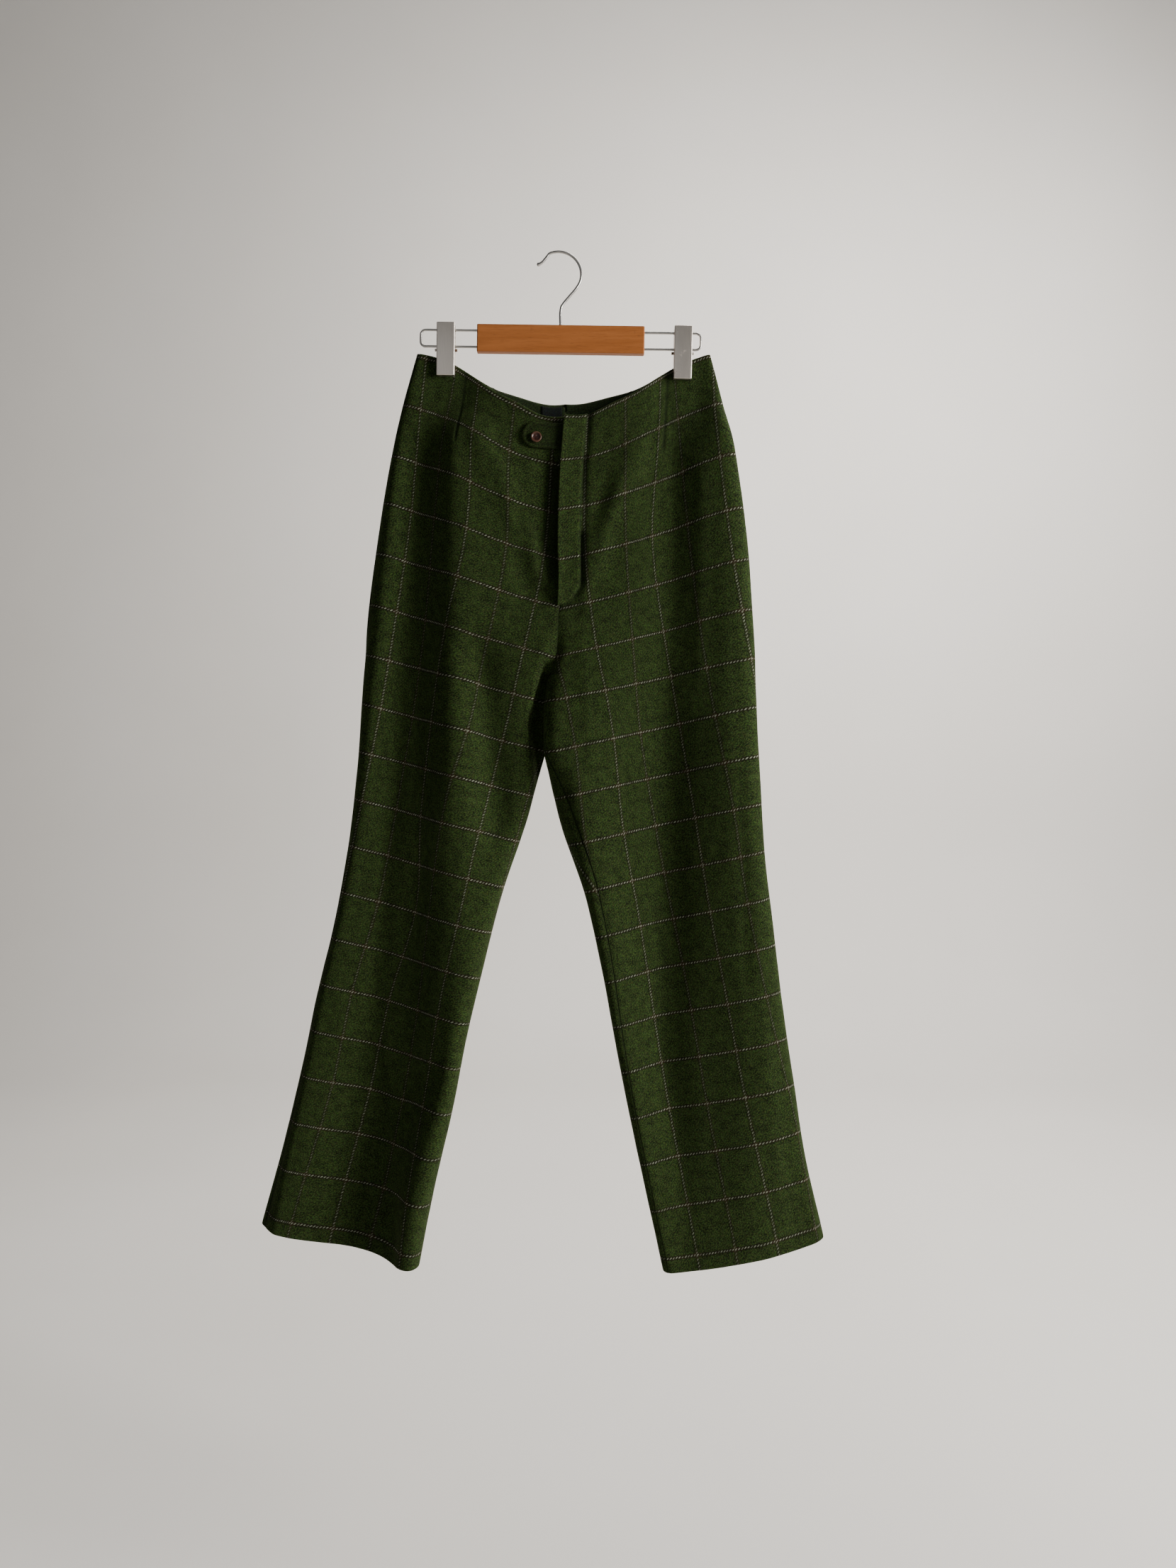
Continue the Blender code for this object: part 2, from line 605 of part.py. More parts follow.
def make_hook():
    """The tip, the round of the hook, the slanted shank and the upright that enters the bar."""
    bar_top = HANGER_Z + BAR_HEIGHT / 2 + LAY
    tip = [(-0.0252, 0, -0.0135), (-0.0222, 0, -0.0127), (-0.0190, 0, -0.0106), (-0.0164, 0, -0.0078)]
    tip.append((-0.0139, 0, -0.0048))
    round_part = arc((0, HOOK_CENTRE_Z), HOOK_ARC, 113, -18, 20)
    neck = [(0.0205, 0, -0.0405), (0.0125, 0, -0.0500), (0.0055, 0, -0.0585), (0.0032, 0, -0.0622)]
    neck += [(0.0024, 0, -0.0662), (0.0022, 0, bar_top)]
    hook = tube("hanger_hook", tip + round_part + neck, HOOK_RADIUS, wire, 3)
    for point in hook.data.splines[0].points[:2]:
        point.radius = HOOK_END_SWELL


def make_bar():
    bpy.ops.mesh.primitive_cube_add(size=1)
    bar = bpy.context.object
    bar.name = "hanger_bar"
    bar.data.transform(
        ((BAR_LENGTH, 0, 0, 0), (0, BAR_THICKNESS, 0, 0), (0, 0, BAR_HEIGHT, 0), (0, 0, 0, 1))
    )
    bar.location = (HANGER_X, 0, HANGER_Z)
    bar.rotation_euler = (0, HANGER_TILT, 0)
    place(bar, wood, smooth=False)
    bevel = bar.modifiers.new("rounded edges", "BEVEL")
    bevel.width = 0.0012
    bevel.segments = 2
    for end in (-1, 1):
        for level in (-1, 1):
            bpy.ops.mesh.primitive_cylinder_add(
                vertices=12, radius=WIRE_RADIUS + WIRE_CLEARANCE, depth=SOCKET_DEPTH * 2
            )
            cutter = bpy.context.object
            cutter.name = f"socket_cutter_{end}_{level}"
            cutter.rotation_euler = (0, math.pi / 2 + HANGER_TILT, 0)
            cutter.location = tilted((end * BAR_LENGTH / 2, 0, level * LOOP_HEIGHT / 2))
            for collection in list(cutter.users_collection):
                collection.objects.unlink(cutter)
            cutters.objects.link(cutter)
            cutter.hide_render = True
            cutter.display_type = "WIRE"
            cut = bar.modifiers.new(f"socket {end} {level}", "BOOLEAN")
            cut.object = cutter
            cut.operation = "DIFFERENCE"


def make_wire(side):
    """One end of the wire loop: out of the bar along the top, round, and back along the bottom."""
    outward = -1 if side == "right" else 1
    start = BAR_LENGTH / 2 - SOCKET_DEPTH + WIRE_CLEARANCE
    end = LOOP_LENGTH / 2 - WIRE_RADIUS
    half = LOOP_HEIGHT / 2
    corner = end - LOOP_CORNER
    line = [(start, 0, half)] + arc((corner, half - LOOP_CORNER), LOOP_CORNER, 90, 0, 5)
    line += arc((corner, LOOP_CORNER - half), LOOP_CORNER, 0, -90, 5) + [(start, 0, -half)]
    points = [tilted((outward * x, y, z)) for x, y, z in line]
    return tube(f"hanger_wire_{side}", points, WIRE_RADIUS, wire, 3)


def make_jaw(side, face):
    """A jaw of a clip: a shallow tray of bent sheet, open towards the cloth."""
    x, z, tilt = CLIPS[side]
    outward = -1 if face == "front" else 1
    bpy.ops.mesh.primitive_cube_add(size=1)
    jaw = bpy.context.object
    jaw.name = f"clip_{side}_{face}"
    jaw.data.transform(
        ((CLIP_WIDTH, 0, 0, 0), (0, CLIP_DEPTH, 0, 0), (0, 0, CLIP_HEIGHT, 0), (0, 0, 0, 1))
    )
    made = bmesh.new()
    made.from_mesh(jaw.data)
    bmesh.ops.delete(
        made, geom=[f for f in made.faces if f.normal.y * outward < -0.5], context="FACES"
    )
    made.to_mesh(jaw.data)
    made.free()
    jaw.location = (x, outward * (CLIP_SEAT + CLIP_DEPTH / 2), z)
    jaw.rotation_euler = (0, tilt, 0)
    place(jaw, steel, smooth=False)
    bevel = jaw.modifiers.new("bent corners", "BEVEL")
    bevel.width = 0.0011
    bevel.segments = 2
    wall = jaw.modifiers.new("sheet", "SOLIDIFY")
    wall.thickness = CLIP_SHEET
    wall.offset = -1
    wall.use_even_offset = True


def make_slider(side):
    """The flat ring that carries a clip on both wires, with a block on each side that meets a jaw."""
    inner = WIRE_RADIUS + WIRE_CLEARANCE
    outer = inner + SLIDER_SHEET
    reach = CLIP_SEAT + CLIP_DEPTH - CLIP_SHEET - LAY
    half = BOSS_HEIGHT / 2
    outlines = []
    for radius, corners in ((outer, ((outer, half), (reach, half), (reach, -half), (outer, -half))),
                            (inner, ())):
        angles = np.radians(np.linspace(0, 180, 9))
        top = [(radius * math.cos(a), LOOP_HEIGHT / 2 + radius * math.sin(a)) for a in angles]
        left = [(-y, z) for y, z in corners]
        bottom = [(-y, -z) for y, z in top]
        right = [(y, z) for y, z in corners[::-1]]
        outlines.append(top + left + bottom + right)
    curve = bpy.data.curves.new(f"clip_{side}_slider", "CURVE")
    curve.dimensions = "2D"
    curve.fill_mode = "BOTH"
    curve.extrude = SLIDER_LENGTH / 2
    for outline in outlines:
        line = curve.splines.new("POLY")
        line.points.add(len(outline) - 1)
        line.use_cyclic_u = True
        for point, (y, z) in zip(line.points, outline):
            point.co = (y, z, 0, 1)
    slider = place(bpy.data.objects.new(f"clip_{side}_slider", curve), steel)
    slider.location = tilted((along_hanger(side), 0, 0))
    slider.rotation_euler = (math.pi / 2 + HANGER_TILT, 0, math.pi / 2)


def make_pin(side):
    """The clip's cross pin, just under the lower wire."""
    below = LOOP_HEIGHT / 2 + WIRE_RADIUS + WIRE_CLEARANCE + SLIDER_SHEET + LAY + PIN_RADIUS
    bpy.ops.mesh.primitive_cylinder_add(
        vertices=16, radius=PIN_RADIUS, depth=CLIP_WIDTH + 2 * PIN_REACH
    )
    pin = bpy.context.object
    pin.name = f"clip_{side}_pin"
    pin.rotation_euler = (0, math.pi / 2 + HANGER_TILT, 0)
    pin.location = tilted((along_hanger(side), 0, -below))
    place(pin, rusty)


clear_scene()
parts = make_collection("trousers_on_clip_hanger")
cutters = make_collection("cutters")
wool = make_material("checked wool", COLOURS["wool"], 0.95)
lining = make_material("waist facing cloth", COLOURS["facing"], 0.9)
label_cloth = make_material("patch cloth", COLOURS["patch"], 0.8)
horn = make_material("button", COLOURS["button"], 0.35)
wood = make_material("hanger wood", COLOURS["wood"], 0.5)
wire = make_material("bright wire", COLOURS["wire"], 0.25, 1.0)
steel = make_material("brushed steel", COLOURS["steel"], 0.4, 1.0)
rusty = make_material("rusty pin", COLOURS["rust"], 0.7, 0.6)

make_panels()
make_fly()
button_seat, button_normal = make_tab()
make_button(button_seat, button_normal)
make_facing()
make_hook()
make_bar()
for wearer_side in CLIPS:
    make_wire(wearer_side)
    make_jaw(wearer_side, "front")
    make_jaw(wearer_side, "back")
    make_slider(wearer_side)
    make_pin(wearer_side)
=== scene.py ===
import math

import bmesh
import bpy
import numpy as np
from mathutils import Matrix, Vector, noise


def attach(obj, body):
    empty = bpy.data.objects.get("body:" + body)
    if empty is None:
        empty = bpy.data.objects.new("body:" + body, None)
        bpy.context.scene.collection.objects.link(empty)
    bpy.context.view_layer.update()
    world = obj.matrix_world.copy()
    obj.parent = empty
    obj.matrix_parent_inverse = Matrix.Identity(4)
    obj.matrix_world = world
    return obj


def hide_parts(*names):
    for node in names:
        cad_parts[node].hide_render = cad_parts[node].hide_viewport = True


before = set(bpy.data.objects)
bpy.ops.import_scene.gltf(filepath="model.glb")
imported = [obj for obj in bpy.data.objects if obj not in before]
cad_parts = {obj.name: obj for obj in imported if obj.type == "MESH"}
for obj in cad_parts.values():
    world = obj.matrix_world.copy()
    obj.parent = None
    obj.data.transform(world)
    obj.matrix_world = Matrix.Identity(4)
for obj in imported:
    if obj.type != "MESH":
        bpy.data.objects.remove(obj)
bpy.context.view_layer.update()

# %% [markdown]
# # Checked wool trousers on a clip hanger
# The frame above holds the plain solids of a pair of cropped trousers and the hanger that carries them.
# This lesson dresses them: finer cloth with creases, a woven check, and real wood and metal finishes.
# Everything is in metres with +Z up, the front faces -Y, and "right" and "left" are the wearer's.

MM = 1000.0  # millimetres in a metre


def in_scene(name, data, material=None):
    """An object made from its data, in the scene."""
    made = bpy.data.objects.new(name, data)
    bpy.context.scene.collection.objects.link(made)
    if material:
        data.materials.append(material)
    return made


def put_on(piece, node):
    """Puts a finished piece in the place of a plain solid."""
    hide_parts(node)
    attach(piece, "root")
    return piece


# %% [markdown]
# ## Camera, room and light
# The trousers hang in front of a pale wall, seen straight on from a little over a metre. A wall and a
# floor could be two planes, but their corner would draw a dark line, so here they are one pale sweep. It
# stands well behind the part, so that the part can also be seen from the back. One large soft light stands
# to the viewer's right and makes the long soft shadows beside each fold. A weak one in front fills them,
# another one is for the back, and the last one lights the wall.

# %% Camera
camera_data = bpy.data.cameras.new("camera")
camera_data.sensor_fit = "VERTICAL"
camera_data.sensor_height = 36
camera_data.lens = 26
camera = in_scene("camera", camera_data)
camera.location = (0.034, -1.310, -0.614)
camera.rotation_euler = (math.pi / 2, 0, 0)
bpy.context.scene.camera = camera
print("camera with a", round(camera_data.lens), "mm lens,", round(-camera.location.y, 2), "m away")

# %% Room: one sheet that runs over the floor and curves up into the wall
FLOOR_Z, FLOOR_FRONT, HALF_WIDTH = -1.62, -4.0, 5
WALL_Y, WALL_TOP, SWEEP = 3.4, 3.2, 0.9


def make_room():
    profile = [(FLOOR_FRONT, FLOOR_Z), (WALL_Y - SWEEP, FLOOR_Z)]
    for angle in np.linspace(0, math.pi / 2, 13)[1:]:
        profile.append((WALL_Y - SWEEP + SWEEP * math.sin(angle), FLOOR_Z + SWEEP - SWEEP * math.cos(angle)))
    profile.append((WALL_Y, WALL_TOP))
    points = [(x, y, z) for y, z in profile for x in (-HALF_WIDTH, HALF_WIDTH)]
    faces = [(2 * k, 2 * k + 1, 2 * k + 3, 2 * k + 2) for k in range(len(profile) - 1)]
    mesh = bpy.data.meshes.new("room")
    mesh.from_pydata(points, [], faces)
    mesh.shade_smooth()
    room = in_scene("room", mesh)
    return room


room = make_room()
print("the wall stands", WALL_Y, "m behind the hook")

# %% Lights
def area_light(name, place, aim, size, power, colour):
    data = bpy.data.lights.new(name, "AREA")
    data.shape = "RECTANGLE"
    data.size, data.size_y = size
    data.energy = power
    data.color = colour
    light = in_scene(name, data)
    light.location = place
    light.rotation_euler = (Vector(aim) - Vector(place)).to_track_quat("-Z", "Y").to_euler()


MIDDLE = (0, 0, -0.6)
area_light("window", (2.60, -0.97, 0.05), MIDDLE, (0.8, 1.5), 158, (1.0, 0.975, 0.94))
area_light("room fill", (-0.9, -2.9, 0.3), MIDDLE, (2.2, 2.2), 7, (0.97, 0.98, 1.0))
area_light("behind", (-0.5, 2.2, 0.9), MIDDLE, (1.8, 1.8), 14, (1.0, 0.98, 0.96))
area_light("wall light", (1.4, 0.9, 1.5), (0.5, WALL_Y, -0.4), (2.4, 1.2), 180, (1.0, 0.965, 0.925))
world = bpy.data.worlds.new("room light")
world.use_nodes = True
world.node_tree.nodes["Background"].inputs["Color"].default_value = (0.86, 0.85, 0.83, 1)
world.node_tree.nodes["Background"].inputs["Strength"].default_value = 0.12
bpy.context.scene.world = world

# %% [markdown]
# ## Small helpers for shader nodes
# Each finish below is built from nodes. They could be added and linked one by one, but a weave takes
# dozens, and its sums would be lost among the links. So a small class gives short names to the few nodes
# that are used most: sums, noise, a soft threshold, and one colour mixed into another.

# %% Node helpers
class Nodes:
    """A node tree, with short names for its most used nodes."""

    def __init__(self, tree):
        self.tree = tree

    def join(self, value, socket):
        """Links a node's output to a socket, or sets the socket to a number or a colour."""
        if isinstance(value, bpy.types.NodeSocket):
            self.tree.links.new(value, socket)
        else:
            socket.default_value = value

    def send(self, sockets, **values):
        """Joins several sockets by name, with _ for a space, or by place, as in0."""
        for name, value in values.items():
            key = int(name[2:]) if name[:2] == "in" and name[2:].isdigit() else name.replace("_", " ")
            self.join(value, sockets[key])

    def add(self, kind, settings=None, **inputs):
        """A node of one kind, with its inputs joined."""
        made = self.tree.nodes.new("ShaderNode" + kind)
        for name, value in (settings or {}).items():
            setattr(made, name, value)
        self.send(made.inputs, **inputs)
        return made

    def math(self, operation, *values, clamp=False):
        inputs = {f"in{k}": value for k, value in enumerate(values)}
        return self.add("Math", {"operation": operation, "use_clamp": clamp}, **inputs).outputs[0]

    def plus(self, a, b, clamp=False):
        return self.math("ADD", a, b, clamp=clamp)

    def times(self, a, b):
        return self.math("MULTIPLY", a, b)

    def scaled(self, value, factor, start, clamp=False):
        """A value times a factor, on top of a start."""
        return self.math("MULTIPLY_ADD", value, factor, start, clamp=clamp)

    def most(self, a, b):
        return self.math("MAXIMUM", a, b)

    def ripple(self, value, length):
        """A wave from 0 to 1 that repeats after a length."""
        return self.scaled(self.math("SINE", self.times(value, 2 * math.pi / length)), 0.5, 0.5)

    def fade(self, value, full, none):
        """1 at one value and beyond it, 0 at another and beyond it, and smooth between."""
        return self.add("MapRange", {"interpolation_type": "SMOOTHSTEP"}, Value=value,
                        From_Min=full, From_Max=none, To_Min=1.0, To_Max=0.0).outputs["Result"]

    def here(self):
        """The place on the piece, in metres."""
        return self.add("TexCoord").outputs["Object"]

    def noise(self, place, scale, detail, output="Fac", **more):
        return self.add("TexNoise", Vector=place, Scale=scale, Detail=detail, **more).outputs[output]

    def mix(self, factor, a, b, blend="MIX"):
        """One colour mixed into another."""
        settings = {"data_type": "RGBA", "blend_type": blend}
        return self.add("Mix", settings, Factor=factor, in6=a, in7=b).outputs[2]

    def use(self, group, **inputs):
        """Places a group and gives back its outputs."""
        return self.add("Group", {"node_tree": group}, **inputs).outputs


print("helpers:", ", ".join(name for name in vars(Nodes) if name[0] != "_"))

# %% [markdown]
# An effect that several materials share is a node group, built once and placed in each of them. A value
# that is the same all over a surface, such as a sheen, is set on the shader's own socket.

# %% Groups and materials
def new_group(name, takes, gives):
    """A node group with named inputs and outputs: its nodes, what it is given, and what it puts out."""
    tree = bpy.data.node_groups.new(name, "ShaderNodeTree")
    for way, sockets in (("INPUT", takes), ("OUTPUT", gives)):
        for title, kind in sockets.items():
            tree.interface.new_socket(title, in_out=way, socket_type=f"NodeSocket{kind}")
    return Nodes(tree), tree.nodes.new("NodeGroupInput").outputs, tree.nodes.new("NodeGroupOutput").inputs


def new_material(name, **settings):
    """A material, its nodes and its shader's sockets, some of them set to one value all over."""
    material = bpy.data.materials.new(name)
    material.use_nodes = True
    nodes = Nodes(material.node_tree)
    shader = material.node_tree.nodes["Principled BSDF"].inputs
    nodes.send(shader, **settings)
    return material, nodes, shader


print("groups so far:", len(bpy.data.node_groups))

# %% [markdown]
# ## The wall's paint
# A pale matt paint. One flat colour would look like paper, so a broad noise clouds it very faintly.

# %% Pale paint
PAINT, PALER_PAINT = (0.62, 0.60, 0.565, 1), (0.68, 0.66, 0.63, 1)


def make_paint():
    material, nodes, shader = new_material("pale paint", Roughness=0.85)
    cloud = nodes.noise(nodes.here(), 1.6, 3.0)
    nodes.send(shader, Base_Color=nodes.mix(cloud, PAINT, PALER_PAINT))
    return material


room.data.materials.append(make_paint())
print("the room is painted")

# %% [markdown]
# ## Wool
# The cloth is a heathered green twill. Its diagonal ribs lie about 2.7 mm apart, and every yarn is spun
# from lighter and darker fibres. A weave could be modelled yarn by yarn, but that takes millions of faces,
# so it is worked out in the material. One group reads the place on the flat cloth, and so the ribs follow
# the cloth round each fold. It puts out a colour, a height for the bump, and the fuzz of the fibres,
# which makes some places duller than others.

# %% Group: heathered twill
RIB = 2.7  # mm from one diagonal rib of the twill to the next
YARN = 0.9  # mm from one yarn to the next
FIBRE_LENGTH, FIBRE_WIDTH = 1.55, 0.80  # how far the fibres' mottling is drawn out along and across a rib


def flat_place(nodes, given):
    """How far across and along the flat cloth a place is in mm, and both as one vector."""
    across, along = nodes.times(given["Across"], MM), nodes.times(given["Along"], MM)
    return across, along, nodes.add("CombineXYZ", X=across, Y=along, Z=0.0).outputs[0]


def make_twill():
    nodes, given, out = new_group(
        "heathered twill",
        {"Across": "Float", "Along": "Float", "Light Wool": "Color", "Dark Wool": "Color"},
        {"Colour": "Color", "Height": "Float", "Fuzz": "Float"},
    )
    across, along, place = flat_place(nodes, given)
    waver = nodes.times(nodes.noise(place, 0.22, 2.0), 2.2)
    rib = nodes.ripple(nodes.plus(nodes.plus(across, along), waver), RIB * math.sqrt(2))
    yarn = nodes.ripple(across, YARN)
    along_rib = nodes.add("Mapping", {"vector_type": "TEXTURE"}, Vector=place,
                          Rotation=(0, 0, -math.pi / 4), Scale=(FIBRE_LENGTH, FIBRE_WIDTH, 1)).outputs[0]
    fibre = nodes.noise(along_rib, 0.80, 4.0, Roughness=0.72)
    cloud = nodes.scaled(nodes.noise(place, 0.10, 4.0), 0.9, -0.36)
    fleck = nodes.fade(nodes.noise(place, 0.40, 2.0, Roughness=0.6), 0.36, 0.46)
    light = nodes.scaled(rib, 0.09, nodes.times(nodes.fade(fibre, 0.61, 0.42), 0.86))
    light = nodes.plus(light, cloud, clamp=True)
    colour = nodes.mix(light, given["Dark Wool"], given["Light Wool"])
    colour = nodes.mix(nodes.times(fleck, 0.55), colour, given["Dark Wool"])
    colour = nodes.mix(0.45, colour, nodes.noise(place, 0.45, 2.0, "Color"), "SOFT_LIGHT")
    height = nodes.scaled(rib, 0.24, nodes.times(fibre, 0.95))
    height = nodes.scaled(yarn, 0.12, height)
    nodes.send(out, Colour=colour, Height=height, Fuzz=fibre)
    return nodes.tree


twill = make_twill()
print("twill ribs", RIB, "mm, yarns", YARN, "mm")

# %% [markdown]
# ## The windowpane check
# Thin lines cross the green: a pale yarn that shows as slanted dashes, because the twill lets it up and
# takes it down again, with dark red-brown yarns on both sides. The upright lines are fainter, every
# second one most of all, and where two lines cross the red shows strongest. Lines could be strips of
# mesh, but real ones lie in the cloth and bend with it. So a group measures how far a place of the flat
# cloth is from the nearest line each way, and turns that into masks for the pale, dark and red yarns.

# %% Group: windowpane lines
CHECK_TALL, CHECK_WIDE = 55.2, 45.5  # mm between the level lines, and between the upright ones
DASH = 3.5  # mm from one dash to the next
LINE_HALF = 0.96  # mm, half the width of the pale yarns
EDGE_REACH = 2.3  # mm from the middle of a line to the outside of its dark yarns
WOBBLE = 1.6  # mm that the lines wander
CROSSING = 8.0  # mm from a crossing to where its red has gone


def line_masks(nodes, bent, run, spacing, strength):
    """For the lines of one direction: how far the nearest is, its pale dashes, dark yarns and whole width."""
    distance = nodes.math("PINGPONG", bent, spacing / 2)
    signed = nodes.math("WRAP", bent, spacing / 2, -spacing / 2)
    core = nodes.fade(distance, LINE_HALF * 0.7, LINE_HALF * 1.25)
    beside = nodes.fade(distance, EDGE_REACH * 0.65, EDGE_REACH * 1.15)
    dash = nodes.fade(nodes.ripple(nodes.scaled(signed, 0.9, run), DASH), 0.725, 0.40)
    pale = nodes.times(nodes.times(core, dash), strength)
    gaps = nodes.math("SUBTRACT", 1.0, dash)
    dark = nodes.most(nodes.times(core, gaps), nodes.times(beside, 0.85))
    return distance, pale, dark, beside


def make_windowpane():
    nodes, given, out = new_group(
        "windowpane lines",
        {"Across": "Float", "Along": "Float"},
        {"Pale": "Float", "Dark": "Float", "Red": "Float", "Raised": "Float"},
    )
    across, along, place = flat_place(nodes, given)
    wander = nodes.add("SeparateColor", Color=nodes.noise(place, 0.12, 3.0, "Color")).outputs
    across_bent = nodes.plus(across, nodes.scaled(wander[0], WOBBLE, -WOBBLE / 2))
    along_bent = nodes.plus(along, nodes.scaled(wander[1], WOBBLE, -WOBBLE / 2))
    second = nodes.fade(nodes.math("PINGPONG", across_bent, CHECK_WIDE), CHECK_WIDE * 0.4, CHECK_WIDE * 0.6)
    upright_strength = nodes.scaled(second, 0.26, 0.36)
    level, pale_a, dark_a, beside_a = line_masks(nodes, along_bent, across, CHECK_TALL, 0.92)
    upright, pale_b, dark_b, beside_b = line_masks(nodes, across_bent, along, CHECK_WIDE, upright_strength)
    worn = nodes.fade(nodes.noise(place, 0.35, 3.0), 0.72, 0.28)
    kept = nodes.math("SUBTRACT", 1.15, worn, clamp=True)
    near = nodes.most(nodes.times(beside_a, nodes.fade(upright, 1.0, CROSSING)),
                      nodes.times(beside_b, nodes.fade(level, 1.0, CROSSING)))
    patchy = nodes.fade(nodes.noise(place, 0.05, 2.0), 0.62, 0.44)
    nodes.send(
        out,
        Pale=nodes.times(nodes.most(pale_a, pale_b), kept),
        Dark=nodes.most(nodes.times(dark_a, 0.9), nodes.times(dark_b, 0.60)),
        Red=nodes.most(near, nodes.times(patchy, 0.32)),
        Raised=nodes.most(beside_a, beside_b),
    )
    return nodes.tree


windowpane = make_windowpane()
print("check of", CHECK_WIDE, "x", CHECK_TALL, "mm")

# %% [markdown]
# ## Wool materials
# The checked wool; the same wool without lines for the tab, in a darker green that paints its shade; the
# dark facing cloth; and the patch. They share the weave, so one function makes all four, each with its own
# colours. Each reads the flat cloth's map. A second value painted on the mesh, called shade, mixes painted
# shade into the colour at the bottom of stitched grooves and seams, and on the cloth under the fly.

# %% Wool, with and without the check
LIGHT_GREEN, DARK_GREEN = (0.034, 0.0570, 0.0145, 1), (0.0030, 0.0038, 0.0016, 1)
# The tab's green is the wool's lighter green made darker, as painted shade.
SHADED_TAB_GREEN = (0.026, 0.0430, 0.0110, 1)
FACING_GREEN, DARK_FACING = (0.027, 0.041, 0.016, 1), (0.008, 0.012, 0.006, 1)
PATCH_GREY, DARK_PATCH = (0.017, 0.020, 0.020, 1), (0.008, 0.010, 0.010, 1)
PALE_YARN = (0.205, 0.225, 0.165, 1)
BROWN_YARN, RED_YARN = (0.0060, 0.0036, 0.0020, 1), (0.018, 0.0060, 0.0038, 1)
# The first colour is painted shade, mixed in where the mesh's shade value is high; the second tints the
# sheen.
PAINTED_SHADE_GREEN, NAP = (0.006, 0.009, 0.004, 1), (0.60, 0.72, 0.30, 1)


def make_wool(name, light, dark, checked=False):
    material, nodes, shader = new_material(
        name, Specular_IOR_Level=0.06, Sheen_Weight=0.05, Sheen_Roughness=0.5, Sheen_Tint=NAP,
    )
    flat = nodes.add("UVMap", {"uv_map": "cloth"}).outputs[0]
    place = nodes.add("SeparateXYZ", Vector=flat).outputs
    wool = nodes.use(twill, Across=place[0], Along=place[1], Light_Wool=light, Dark_Wool=dark)
    colour, height = wool["Colour"], wool["Height"]
    if checked:
        lines = nodes.use(windowpane, Across=place[0], Along=place[1])
        dark_yarn = nodes.mix(lines["Red"], BROWN_YARN, RED_YARN)
        colour = nodes.mix(lines["Dark"], colour, dark_yarn)
        colour = nodes.mix(lines["Pale"], colour, PALE_YARN)
        height = nodes.scaled(lines["Raised"], 0.25, height)
    # Painted shade: where the mesh's shade value is high, the colour goes towards a near-black green.
    shade = nodes.add("Attribute", {"attribute_name": "shade"}).outputs["Fac"]
    colour = nodes.mix(nodes.times(shade, 0.75), colour, PAINTED_SHADE_GREEN)
    rough = nodes.scaled(wool["Fuzz"], 0.16, 0.84, clamp=True)
    bump = nodes.add("Bump", Height=height, Strength=0.75, Distance=0.0005).outputs[0]
    nodes.send(shader, Base_Color=colour, Roughness=rough, Normal=bump)
    return material


checked_wool = make_wool("checked wool", LIGHT_GREEN, DARK_GREEN, checked=True)
plain_wool = make_wool("plain wool", SHADED_TAB_GREEN, DARK_GREEN)
facing_cloth = make_wool("facing cloth", FACING_GREEN, DARK_FACING)
patch_cloth = make_wool("patch cloth", PATCH_GREY, DARK_PATCH)
print("wool materials ready")

# %% [markdown]
# ## The shape of the cloth
# Each half of the trousers is a soft tube that opens into the other at the fork. Cloth could be draped by
# a simulation, but it would fall into folds of its own, and these trousers hang in folds that are known.
# So the form is worked out from tables. They say where the cloth's edges run from the waist (down 0) to
# the hem (down 1) and how far it stands off its middle, in mm. The solids were made from the same edges
# and depths, so the fine cloth fits the plain one.

# %% Edges and depths of each half
CLOTH, SEAM_GAP, BACK_RISE = 0.0018, 0.0001, 0.022
FORK_TOP, CROTCH = 0.25, 0.315
OUTER_ROUND, ROUNDNESS = 1.6, 2.2
INNER_ROUND = {"right": 1.2, "left": 0.95}
EDGE_COLUMNS = ("down", "outer_x", "outer_z", "inner_x", "inner_z")
EDGES = {
    "right": (
        (0.000, -164, -116.4, 7.4, -192.7), (0.066, -182, -182.9, 2.5, -253.4),
        (0.145, -198.4, -262.4, 0, -328.8), (0.225, -210.7, -342.8, 0, -405.9),
        (0.290, -218.9, -407.5, -3.3, -469.9), (0.315, -221.4, -433, -7.4, -492),
        (0.345, -223, -463.3, -10.7, -519.1), (0.371, -225.5, -489.5, -12.3, -545.3),
        (0.470, -232.9, -588.8, -32, -640.4), (0.572, -244.4, -691.3, -64, -739.6),
        (0.653, -259.1, -773.3, -85.3, -818.4), (0.735, -279.6, -855.3, -105.8, -898.7),
        (0.816, -296, -937.3, -119.7, -977.4), (0.898, -314.9, -1019.3, -137.8, -1056.2),
        (1.000, -342.8, -1121.8, -158.7, -1154.6),
    ),
    "left": (
        (0.000, 175.5, -117.3, 7.4, -192.7), (0.066, 192.7, -184.5, 2.5, -253.4),
        (0.145, 207.5, -264.9, 0, -328.8), (0.225, 218.1, -346.9, 0, -405.9),
        (0.290, 222.2, -413.3, -3.3, -469.9), (0.315, 223.9, -438.7, -7.4, -492),
        (0.345, 225.5, -469, -11.5, -520.7), (0.371, 226.3, -495.3, -14.8, -548.6),
        (0.470, 231.2, -597, -1.6, -646.2), (0.572, 237, -701.1, 32, -747.8),
        (0.653, 247.6, -783.1, 50, -827.4), (0.735, 258.3, -866.7, 64.8, -907.7),
        (0.816, 270.6, -949.6, 80.4, -988.1), (0.898, 283.7, -1033.2, 97.6, -1070.9),
        (1.000, 307.5, -1138.2, 119.7, -1173.4),
    ),
}
DEPTH_COLUMNS = (
    "down", "front_outer", "front_inner", "back_outer", "back_inner",
    "outer_y", "inner_y", "side_seam", "inseam",
)
